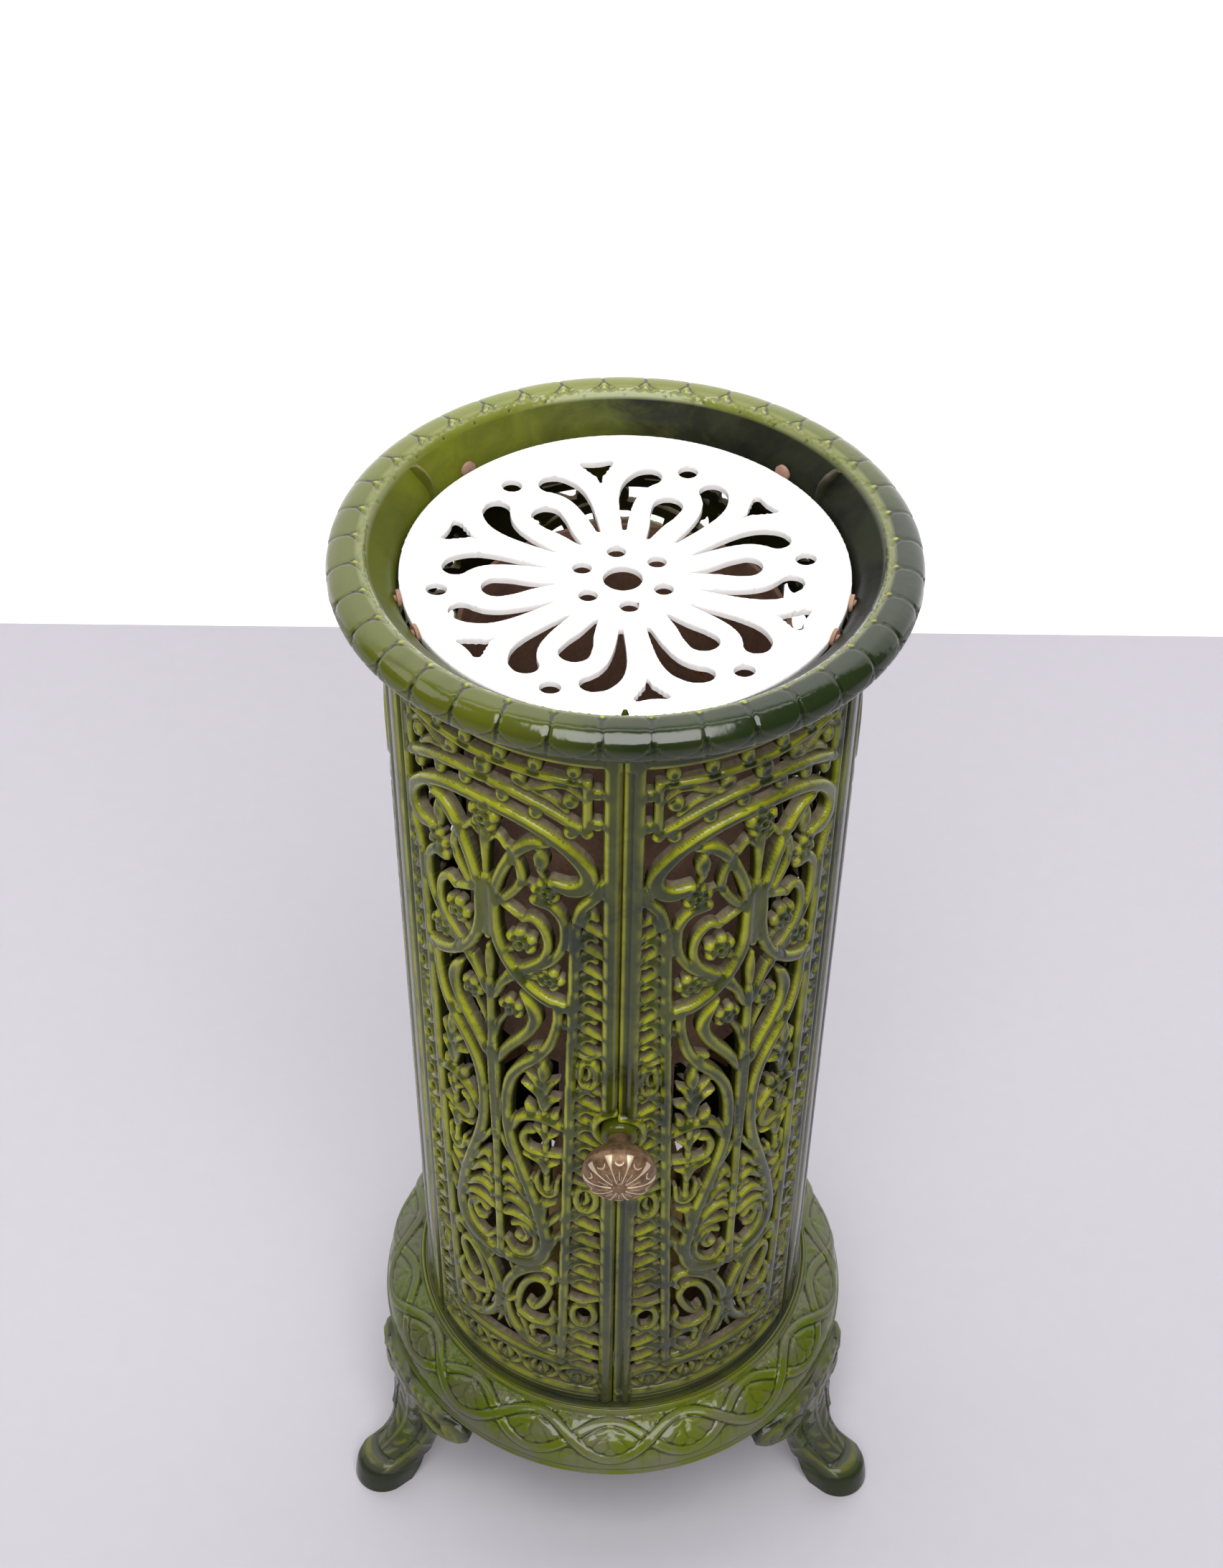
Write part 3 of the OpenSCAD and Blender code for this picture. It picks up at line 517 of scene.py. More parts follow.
def make_mesh(name, verts, groups, attributes, sharp_deg=50):
    """Smooth-shaded object from vertex rows and groups of equal-sided faces."""
    mesh = bpy.data.meshes.new(name)
    groups = [np.asarray(g, int) for g in groups if len(g)]
    mesh.vertices.add(len(verts))
    mesh.vertices.foreach_set("co", verts.ravel())
    loops = np.concatenate([g.ravel() for g in groups])
    sizes = np.concatenate([np.full(len(g), g.shape[1]) for g in groups])
    mesh.loops.add(len(loops))
    mesh.loops.foreach_set("vertex_index", loops)
    mesh.polygons.add(len(sizes))
    mesh.polygons.foreach_set("loop_start", np.concatenate([[0], np.cumsum(sizes)[:-1]]))
    mesh.update(calc_edges=True)
    mesh.validate()
    mesh.shade_smooth()
    mesh.set_sharp_from_angle(angle=math.radians(sharp_deg))
    for key, values in attributes.items():
        layer = mesh.attributes.new(key, "FLOAT", "POINT")
        layer.data.foreach_set("value", values.ravel())
    ob = bpy.data.objects.new(name, mesh)
    bpy.context.collection.objects.link(ob)
    return ob


def dress(ob, body, nodes, paint):
    """Puts a piece on its body, in place of CAD nodes, in its paint."""
    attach(ob, body)
    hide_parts(*nodes)
    ob.data.materials.append(paint)


def enamelled(name, parts, nodes, height, ridge, rim=3.0, extra=(0.9, 3.0, 0.0), body="frame"):
    """Green casting of closed (rows, faces) solids.

    height, rim and ridge belong to the first solid; extra holds those of the rest.
    """
    rows, faces = np.vstack([rows for rows, groups in parts]), []
    start, first = 0, len(parts[0][0])
    for solid, groups in parts:
        faces += [f + start for f in groups]
        start += len(solid)
    values = {key: np.concatenate([np.broadcast_to(own, first), np.full(start - first, rest)])
              for key, own, rest in zip(("height", "rim", "ridge"), (height, rim, ridge), extra)}
    dress(make_mesh(name, rows, faces, values), body, nodes, GLAZE)


def blurred(a, times):
    """Grid smoothed with a 1-2-1 kernel along both axes."""
    for _ in range(times):
        for axis in (0, 1):
            a = (np.roll(a, 1, axis) + 2 * a + np.roll(a, -1, axis)) / 4
    return a


def smooth_heights(rel, passes):
    """Softens creases inside the outline."""
    w = (rel.s > -0.8).astype(float)
    for _ in range(passes):
        a, b = blurred(rel.h * w, 1), blurred(w, 1)
        rel.h = np.where(w > 0, a / np.maximum(b, 1e-6), rel.h)


def bend(verts, side, zero):
    """Wraps (u, z, h) around the body: u runs from angle zero towards side."""
    a = side * (zero + verts[:, 0] / BODY_R)
    r = BACK_R + verts[:, 2]
    return np.column_stack([r * np.sin(a), -r * np.cos(a), verts[:, 1]]) * MM


# ------------------------------------------------------------ body castings
TOP_RAIL = 705.5               # underside of the top rail
BOTTOM_RAIL = 139.0            # top of the flat part of the bottom rail
PLAIN_H = 7.2                  # height of plain stiles over the back
HINGE_EDGE = BODY_R * HINGE_A  # distance from the seam to the hinge line


def rails(rel, v0, v1):
    """Top rail, bottom rail and the roll above it."""
    rel.rect(v0, v1, TOP_RAIL, PANEL_Z1, PLAIN_H - 0.3)
    rel.rect(v0, v1, PANEL_Z0, BOTTOM_RAIL, PLAIN_H - 1.2)
    stroke(rel, [(v0 + 3.6, 143), (v1 - 3.6, 143)], 3.7, RAISE - 0.4, dome)


def stile(rel, v0, v1, z0, z1, bar):
    """Upright plate with one raised bar: (place, share of width)."""
    rel.rect(v0, v1, z0, z1, PLAIN_H - 1.6)
    place, share = bar
    half = (v1 - v0) * share / 2
    mid = v0 + half + place * (v1 - v0 - 2 * half)
    stroke(rel, [(mid, z0 + half), (mid, z1 - half)], half, RAISE - 0.6)


def paste(rel, source, offset):
    """Copies a field onto a wider grid, offset millimetres from its edge."""
    k = int(round((offset - rel.u[0]) / rel.cell))
    cols = slice(k, k + len(source.u))
    rel.h[:, cols] = np.maximum(rel.h[:, cols], source.h)
    rel.s[:, cols] = np.maximum(rel.s[:, cols], source.s)
    return rel.u[k]


def cut_disc(rel, u, z, r):
    """Cuts a round hole or notch."""
    d = np.hypot(rel.u[None] - u, rel.z[:, None] - z) - r
    rel.s = np.minimum(rel.s, np.clip(d, -9, 9))


def edge_light(rel):
    """Curvature of the relief: positive on ridges, negative in creases."""
    h = np.where(rel.s > 0, rel.h, 0.0)
    return np.clip((h - blurred(h, int(round(5 / rel.cell ** 2)))) / 1.6, -1, 1)


def finish_casting(name, body, rel, side, zero, drift=0.0, solids=()):
    """Meshes a relief, bends it round the body and adds joined-on solids."""
    drop_chips(rel)
    smooth_heights(rel, 1)
    verts, groups, rim = contour_mesh(rel)
    ui = np.clip(np.searchsorted(rel.u, verts[:, 0]), 0, len(rel.u) - 1)
    zi = np.clip(np.searchsorted(rel.z, verts[:, 1]), 0, len(rel.z) - 1)
    ridge = edge_light(rel)[zi, ui]
    verts[:, 1] += drift * np.sin(math.pi * (verts[:, 1] - DOOR_Z0) / (DOOR_Z1 - DOOR_Z0))
    if side < 0:
        groups = [g[:, ::-1] for g in groups]
    enamelled(name + "_casting", [(bend(verts, side, zero), groups), *solids], [name],
              verts[:, 2] / RAISE, ridge, np.clip(rim, 0, 6), body=body)


def loop_faces(rows, count):
    """Quads of a closed tube of `rows` rings with `count` points each."""
    i, j = np.meshgrid(np.arange(rows - 1), np.arange(count), indexing="ij")
    a, b = i * count + j, i * count + (j + 1) % count
    return np.stack([a, b, b + count, a + count], -1).reshape(-1, 4)


def outward(rows, groups):
    """Groups of a closed mesh, flipped if it is inside out."""
    volume = 0.0
    for f in groups:
        for k in range(1, f.shape[1] - 1):
            volume += np.einsum("ij,ij->", rows[f[:, 0]], np.cross(rows[f[:, k]], rows[f[:, k + 1]]))
    return groups if volume > 0 else [f[:, ::-1] for f in groups]


def tube(rings, n):
    """Faces of a stack of rings of n points with a cap at both ends."""
    caps = [np.arange(n)[None, ::-1], (rings - 1) * n + np.arange(n)[None]]
    return [loop_faces(rings, n)] + caps


def rod(x, y, z0, z1, r, n=24, chamfer=0.6):
    """Upright round bar with chamfered, capped ends, in metres."""
    rings = [(r - chamfer, z0), (r, z0 + chamfer), (r, z1 - chamfer), (r - chamfer, z1)]
    a = np.arange(n) * 2 * math.pi / n
    rows = np.vstack([np.column_stack([x + q * np.cos(a), y + q * np.sin(a), np.full(n, z)])
                      for q, z in rings]) * MM
    return rows, outward(rows, tube(len(rings), n))


def revolve(profile, bump):
    """Turns a closed (r, z) loop about +Z; bump[row, column] lifts along normals.

    Columns count from the front towards +X.
    """
    p = np.asarray(profile, float)
    m, n = bump.shape
    q = np.roll(p, -1, 0)
    d = q - np.roll(p, 1, 0)
    out = 1 if (p[:, 0] * q[:, 1] - q[:, 0] * p[:, 1]).sum() > 0 else -1
    normal = np.column_stack([d[:, 1], -d[:, 0]]) * out
    normal /= np.maximum(np.hypot(normal[:, 0], normal[:, 1]), 1e-9)[:, None]
    a = 2 * math.pi * np.arange(n) / n
    r = p[:, 0, None] + normal[:, 0, None] * bump
    z = p[:, 1, None] + normal[:, 1, None] * bump
    co = np.stack([r * np.sin(a), -r * np.cos(a), z], -1).reshape(-1, 3)
    return co * MM, [(loop_faces(m + 1, n) % (m * n))[:, ::out]]


def wheel_y(profile, n, centre, bump=0.0):
    """Turns a closed (r, depth) loop about an axis along -Y through centre."""
    p = np.asarray(profile, float)
    a = np.arange(n) * 2 * math.pi / n
    r = p[:, 0, None]
    co = np.stack([centre[0] + r * np.cos(a), centre[1] - (p[:, 1, None] + np.zeros(n) + bump),
                   centre[2] + r * np.sin(a)], -1).reshape(-1, 3) * MM
    return co, outward(co, [loop_faces(len(p) + 1, n) % len(co)])


def boss(x, z, r_out, r_in, y0, y1):
    """Round boss with a rounded front edge and a bore, standing on the door."""
    ring = [(r_in, y0), (r_out, y0), (r_out, y1 - 2.2), (r_out - 0.8, y1 - 0.7), (r_out - 2.6, y1),
            (r_in, y1)]
    return wheel_y(ring, 40, (x, 0, z))


KNOB_LOW, KNOB_HIGH = box_mm("knob")
KNOB_X = (KNOB_LOW[0] + KNOB_HIGH[0]) / 2
KNOB_Z = (KNOB_LOW[2] + KNOB_HIGH[2]) / 2
KNOB_R = (KNOB_HIGH[0] - KNOB_LOW[0]) / 2


def body_castings():
    """Two doors, two side panels and the rear panel."""
    ornament = field(FINE)
    for side, name in ((-1, "door_left"), (1, "door_right")):
        rel = relief(0, HINGE_EDGE, DOOR_Z0, DOOR_Z1, FINE)
        k = int(round((DOOR_Z0 - PANEL_Z0) / FINE))
        part = slice(k, k + len(rel.z)), slice(0, len(rel.u))
        rel.h, rel.s = ornament.h[part].copy(), ornament.s[part].copy()
        rails(rel, 0.5, HINGE_EDGE)
        if side > 0:
            stile(rel, 0.6, 11.2, DOOR_Z0, DOOR_Z1, (1.0, 0.52))
        else:
            stile(rel, 0.6, 9.8, DOOR_Z0, DOOR_Z1, (0.5, 0.86))
        stile(rel, 138.2, HINGE_EDGE, DOOR_Z0, DOOR_Z1, (0.0, 0.55))
        knob_u = side * KNOB_X
        arch = [(knob_u + 14.5 * math.sin(t), KNOB_Z + 14.5 * math.cos(t))
                for t in np.linspace(0, math.pi, 24)]
        stroke(rel, arch, 2.6, RAISE + 0.6, dome)
        cut_disc(rel, knob_u, KNOB_Z, 11.7 if side < 0 else 9.4)
        x, y = side * HINGE_R * math.sin(HINGE_A), -HINGE_R * math.cos(HINGE_A)
        solids = [rod(x, y, DOOR_Z0, DOOR_Z1, BARREL_R)]
        if side > 0:
            solids.append(boss(KNOB_X, KNOB_Z, 10.5, 3.1, BODY_R - 11, BODY_R + 4))
        finish_casting(name, name, rel, side, 0.0, -2.5 * side, solids)

    ornament = field(COARSE)
    edge = HINGE_EDGE + BARREL_R + 0.6
    rear = BODY_R * REAR_SEAM
    fixed_panel("panel_side_left", ornament, rear - edge, 15.6, -1, edge / BODY_R)
    fixed_panel("panel_side_right", ornament, rear - edge, 15.6, 1, edge / BODY_R)
    width = 2 * BODY_R * (math.pi - REAR_SEAM) - 0.4
    fixed_panel("panel_rear", ornament, width, (width - FIELD_W) / 2, 1, REAR_SEAM + 0.2 / BODY_R)


def fixed_panel(name, ornament, width, offset, side, zero):
    """Panel with two stiles at each side of its field."""
    rel = relief(0, width, PANEL_Z0, PANEL_Z1, COARSE)
    v = paste(rel, ornament, offset)
    rails(rel, 0.2, width - 0.2)
    outer = [(0.5, 0.8)] * 2 if name == "panel_rear" else [(0.12, 0.9), (0.5, 0.9)]
    for v0, v1, bar in ((0.2, v + 0.5, outer[0]), (v + 0.5, v + 9.5, (0.5, 0.8)),
                        (v + 138.5, v + 147.5, (0.5, 0.8)), (v + 147.5, width - 0.2, outer[1])):
        stile(rel, v0, v1, PANEL_Z0, PANEL_Z1, bar)
    finish_casting(name, "frame", rel, side, zero)


# -------------------------------------------------------------- tiled relief
def sample_tile(rel, u, v):
    """Bilinear heights of a relief tile; u repeats, v is clamped."""
    width = rel.u[-1] - rel.u[0]
    fu = ((u - rel.u[0]) % width) / (rel.u[1] - rel.u[0])
    fv = np.clip((v - rel.z[0]) / (rel.z[1] - rel.z[0]), 0, len(rel.z) - 1.001)
    i, j = fu.astype(int), fv.astype(int)
    i2 = np.minimum(i + 1, len(rel.u) - 1)
    a, b = fu - i, fv - j
    return (rel.h[j, i] * (1 - a) * (1 - b) + rel.h[j, i2] * a * (1 - b)
            + rel.h[j + 1, i] * (1 - a) * b + rel.h[j + 1, i2] * a * b)


def arc_length(p):
    """Length along a line at each of its points."""
    p = np.asarray(p, float)
    return np.concatenate([[0], np.cumsum(np.hypot(*np.diff(p, axis=0).T))])


def resample(points, step):
    """Smooth curve through points, evenly spaced."""
    c = spline(points, 0.3)
    s = arc_length(c)
    t = np.linspace(0, s[-1], max(2, int(s[-1] / step) + 1))
    return np.column_stack([np.interp(t, s, c[:, 0]), np.interp(t, s, c[:, 1])])


def ring_ridge(bump):
    """Ridges and creases of a displaced ring."""
    return np.clip((bump - blurred(bump, 4)) * 1.8, -1, 1)


# ------------------------------------------------------------------ top ring
def rim_tile(length):
    """One rounded leaf scale; half a seam with its bud and pits at each side.

    u runs across the scale, v from the lip below to the inner crest.
    """
    pitch = 2 * math.pi * RIM_R / RIM_LEAVES
    rel = relief(0, pitch, 0, length, 0.4)
    u, v = np.meshgrid(rel.u / pitch * 2 - 1, rel.z / length)
    half = 1.0 * np.sqrt(np.clip(1 - (np.abs(v - 0.52) / 0.36) ** 3.0, 0, 1))
    gap = (half - np.abs(u)) * pitch / 2
    scale = 1.15 * np.clip(gap / 1.0, 0, 1) ** 0.5 * (1 - 0.10 * u ** 2)
    rel.h = np.where(gap > 0, scale, 0.85)
    rel.h = np.where((gap < 0) & (gap > -0.8), 0.45, rel.h)
    rel.h = np.where((v < 0.34) & (np.abs(u) > 0.93), 0.35, rel.h)
    for side in (0, 1):
        c = side * pitch
        rel.stamp(c, 0.80 * length, 1.8, dome(1.9, 0.2))
        for x in (c - 0.15 * pitch, c + 0.15 * pitch):
            rel.add(x, 0.865 * length, 1.7, lambda q: -0.85 * (1 - q ** 3))
    for f in (0.30, 0.5, 0.70):
        rel.stamp(f * pitch, 0.905 * length, 1.3, dome(1.35, 0.1))
    smooth_heights(rel, 1)
    return rel


def top_ring():
    """Rolled rim with leaf scales, bowl wall, seat and lugs."""
    z = PANEL_Z1
    crest = resample([(151.2, z + 15.4), (153.8, z + 18.5), (154, z + 23), (152.2, z + 28), (147.6, z + 31.6),
                      (142, z + 32.9), (137.6, z + 32.4), (134.6, z + 30.6), (132.8, z + 28.4)], 0.7)
    bowl_wall = resample([(132.8, z + 28.4), (128.4, z + 24.2), (123, z + 19), (119.8, z + 12.5),
                          (118.5, z + 6), (118.4, z - 1)], 1.6)[1:]
    hidden = [(118.4, z - 16), (121.8, z - 16), (121.8, z), (133, z), (133, z + 4), (122.2, z + 4.2),
              (123.2, z + 12), (127, z + 18), (132.5, z + 23.5), (137, z + 27.6), (141, z + 28.4),
              (146, z + 27), (149.4, z + 24), (149.9, z + 20), (149.6, z + 17)]
    profile = np.vstack([crest, bowl_wall, hidden])
    n = RIM_LEAVES * 22
    s = arc_length(crest)
    tile = rim_tile(s[-1])
    bump = np.zeros((len(profile), n))
    a = 2 * math.pi * np.arange(n) / n
    u = (a - RIM_TURN) / (2 * math.pi) * RIM_LEAVES * tile.u[-1]
    fade = np.clip(s / 1.5, 0, 1) * np.clip((s[-1] - s) / 1.0, 0, 1)
    bump[:len(crest)] = (sample_tile(tile, *np.meshgrid(u, s)) - 1.0) * fade[:, None]
    wave = 0.25 * np.sin(3 * a + 1) + 0.18 * np.sin(11 * a) + 0.1 * np.sin(23 * a + 2)
    m = len(crest) + len(bowl_wall)
    bump[len(crest):m] += wave * np.sin(np.linspace(0, math.pi, len(bowl_wall)))[:, None]
    height = np.interp(bump, [-1.0, -0.85, -0.6, 1.2], [0.50, 0.55, 0.86, 1.0])
    lug_low = box_mm("grille")[0][2]
    parts = [revolve(profile, bump)]
    parts += [fin(math.radians(degrees), z) for degrees in (-120, 120)]
    parts += [block(math.radians(degrees), 105.4, 119, 8, z, lug_low) for degrees in (-150, 150, 0)]
    enamelled("top_ring_casting", parts, ["top_ring"], height.ravel(), ring_ridge(bump).ravel(),
              extra=(0.6, 3.0, 0.3))


def grid_solid(front, back):
    """Closed solid between two equal grids of points, in metres."""
    rows, cols = front.shape[:2]
    co = np.vstack([front.reshape(-1, 3), back.reshape(-1, 3)]) * MM
    i, j = np.meshgrid(np.arange(rows - 1), np.arange(cols - 1), indexing="ij")
    a = i * cols + j
    quad = np.stack([a, a + 1, a + 1 + cols, a + cols], -1).reshape(-1, 4)
    k = rows * cols
    border = np.concatenate([np.arange(cols - 1), (np.arange(rows - 1) + 1) * cols - 1,
                             rows * cols - 1 - np.arange(cols - 1),
                             (rows - 1 - np.arange(rows - 1)) * cols])
    nxt = np.roll(border, -1)
    wall = np.stack([nxt, border, border + k, nxt + k], -1)
    return co, outward(co, [quad, quad[:, ::-1] + k, wall])


def polar(a, r, z, across=0.0):
    """Point at angle a from the front, with an offset along the tangent."""
    return np.array([r * math.sin(a) + across * math.cos(a), -r * math.cos(a) + across * math.sin(a), z])


def fin(a, z):
    """Hooked rib on the bowl wall."""
    outline = [(119.0, z + 5, 1.2), (119.6, z + 11, 2.0), (121.2, z + 17, 3.4), (124, z + 22, 4.6),
               (127.5, z + 26, 4.4), (131, z + 28.6, 2.6)]
    front = np.array([[polar(a, r - depth * f, h + 0.4 * depth * f, across)
                       for across, f in ((-2.6, -0.3), (-1.6, 0.65), (-0.5, 1.0), (0.9, 0.9), (2.2, -0.3))]
                      for r, h, depth in outline])
    back = np.array([[polar(a, r + 2.4, h - 1, across) for across in (-2.6, -1.6, -0.5, 0.9, 2.2)]
                     for r, h, depth in outline])
    return grid_solid(front, back)


def block(a, r0, r1, half, z0, z1):
    """Lug with softened upper edges."""
    def layer(h, inset):
        return np.array([[polar(a, r, h, x) for x in np.linspace(-half + inset, half - inset, 3)]
                         for r in (r1, r0 + inset)])
    return grid_solid(layer(z1, 1.2), layer(z0, 0))


# ----------------------------------------------------------------- base ring
def ribbon_tile(length):
    """Two ovals between ribbon crossings, each with a hanging leaf in it.

    u runs round the ring, v up from the lip to the seat.
    """
    width = 2 * math.pi * BASE_R / RIBBONS
    rel = relief(0, 2 * width, 0, length, 0.6)
    u, v = np.meshgrid(rel.u, rel.z)
    mid, swing = 0.596 * length, 0.316 * length
    for k in (0, 1):
        x = (k + 0.5) * width
        stroke(rel, [(x, mid + 2), (x, mid - 6), (x, mid - 13)], [5.5, 6.2, 0.8], 0.95, dome)
        for side in (-1, 1):
            stroke(rel, [(x + side * 1.5, mid + 0.5), (x + side * 8, mid + 2.2), (x + side * 13.5, mid - 1),
                         (x + side * 17, mid - 4)], [3.6, 4.4, 3.2, 0.9], 0.95, dome)
            stroke(rel, [(x + side * 3, mid - 1), (x + side * 8, mid - 6), (x + side * 9.5, mid - 9.5)],
                   [4, 3.4, 0.7], 0.85, dome)
            stroke(rel, [(x + side * 0.9, mid + 11.5), (x + side * 1.5, mid + 8), (x + side * 5, mid + 5.2),
                         (x + side * 9, mid + 4.0)], [0.9, 1.0, 1.2, 0.7], 1.45, dome)
    for k in (0, 1, 2):
        x = k * width
        stroke(rel, [(x, mid + 16), (x, mid + 12.5), (x, mid + 9.2)], [2.0, 2.6, 0.8], 1.25, dome)
        stroke(rel, [(x, mid - 16), (x, mid - 11)], [2.2, 0.7], 0.6, dome)
        for side in (-1, 1):
            stroke(rel, [(x + side * 9.5, mid + 16.6), (x + side * 5.5, mid + 13)], [0.8, 0.7], 0.9, dome)
    for sign in (-1, 1):
        angle = math.pi * u / width
        centre = mid + sign * swing * np.sin(angle)
        slope = sign * swing * math.pi / width * np.cos(angle)
        d = np.abs(v - centre) / np.sqrt(1 + slope ** 2)
        over = np.sin(angle / 2 + (0 if sign > 0 else math.pi / 2)) ** 2 > 0.5
        ribbon = (1.35 + 0.25 * over) * np.sqrt(np.clip(1 - (d / 3.3) ** 4, 0, 1))
        rel.h = np.where((d > 3.1) & (d < 4.4), rel.h * 0.45, rel.h)
        rel.h = np.maximum(rel.h, ribbon)
    smooth_heights(rel, 2)
    return rel


def base_ring():
    """Seat, half-round shell with interlaced ribbons, lower lip and flange."""
    low, high = box_mm("base_ring")
    base_r = BODY_R + 30
    z0, z1 = low[2], high[2]
    shell = [(BODY_R + 2 + (base_r - BODY_R - 2) * math.cos(t), z0 + 4 + 28 * math.sin(t))
             for t in np.linspace(math.pi / 2 - 0.12, 0.06, 14)]
    seat = [(110, z1 - 7), (110, z1), (BODY_R + 0.6, z1), (BODY_R + 1.0, z1 - 1.4), (BODY_R + 1.6, z1 - 1.5),
            (BODY_R + 2.3, z1 - 0.3), (BODY_R + 3.1, z1 + 0.1), (BODY_R + 3.9, z1 - 0.4),
            (BODY_R + 4.4, z1 - 1.9)]
    outer = resample([(BODY_R + 5.0, z0 + 31.9)] + shell[1:] + [(base_r - 0.6, z0 + 3.4)], 0.8)
    lip = resample([(base_r - 0.6, z0 + 3.4), (base_r + 0.4, z0 + 2.4), (base_r, z0 + 0.8),
                    (base_r - 1.6, z0)], 0.6)[1:]
    hidden = [(BODY_R + 1, z0), (BODY_R + 1, z0 + 7), (base_r - 8, z0 + 7), (base_r - 11, z0 + 16),
              (base_r - 19, z0 + 23), (BODY_R + 3, z0 + 25), (BODY_R + 2, z1 - 8)]
    profile = np.vstack([seat, outer, lip, hidden])
    n = RIBBONS * 44
    s = arc_length(outer)
    tile = ribbon_tile(s[-1])
    bump = np.zeros((len(profile), n))
    a = 2 * math.pi * np.arange(n) / n
    u = (a - BASE_TURN) / (2 * math.pi) * RIBBONS * tile.u[-1] / 2
    fade = np.clip((s - 0.4) / 1.2, 0, 1) * np.clip((s[-1] - s - 0.8) / 1.2, 0, 1)
    first = len(seat)
    bump[first:first + len(outer)] = (sample_tile(tile, *np.meshgrid(u, s[-1] - s)) - 0.9) * fade[:, None]
    ridge = ring_ridge(bump) * 0.85
    ridge[5:8] = 0.55
    enamelled("base_ring_casting", [revolve(profile, bump)], ["base_ring"], 0.9, ridge.ravel())


# ---------------------------------------------------------------------- feet
def foot_half(z):
    """Half-width of a foot at a height."""
    return np.interp(z, [0, 14, 20, 26, 33, 44, 52, 58, 64, 68, 71, 74, 78, 84, 90, 94],
                     [TOE_W, 19.2, 18.3, 18.0, 19.8, 23.4, 25.6, 28, 32.5, 37, 45, 51, 55, 56.2, 54.6, 48])


def foot_relief(length):
    """Raised work on a foot's face: u across it, v down from the ring."""
    rel = relief(-58, 58, 0, length, 0.8)
    for side in (-1, 1):
        stroke(rel, [(side * x, v) for x, v in
                     ((20, 17), (31, 20), (41, 22.5), (48.5, 20), (51.5, 13), (48, 7), (42, 7.5), (41, 12.5),
                      (44, 15))], [1.4, 2.0, 2.4, 2.6, 2.6, 2.3, 1.9, 1.7, 1.5], 2.6, dome)
        stroke(rel, [(side * x, v) for x, v in
                     ((31, 4), (25, 8), (19, 15), (20.5, 25), (23.5, 33), (22, 42), (19.5, 54), (17.4, 64),
                      (15.8, 74))], [1.2, 2.0, 2.0, 1.7, 1.6, 1.6, 1.6, 1.6, 1.6], 1.5, dome)
        for k, (x, v) in enumerate(((10.5, 22), (12, 36), (10.5, 50), (9, 63), (8, 74))):
            stroke(rel, [(side * 1.4, v + 7), (side * x * 0.7, v + 3), (side * x, v - 4)],
                   [1.2, 2.9 - 0.2 * k, 0.9], 1.5, dome)
        for k in range(4):
            stroke(rel, [(side * (6 + 8.5 * k), 2.4), (side * (8.6 + 8.5 * k), 5.2)], [2.4, 1.2], 2.0, dome)
        stroke(rel, [(side * 7, 11), (side * 13, 9), (side * 16, 13)], [1.2, 2.2, 1.2], 1.8, dome)
    stroke(rel, [(0, 12), (0, 40), (0, 70), (0, 90)], [2.2, 1.7, 1.4, 1.0], 1.5, dome)
    rel.stamp(0, 12, 4.0, dome(2.4, 0.3))
    smooth_heights(rel, 1)
    return rel


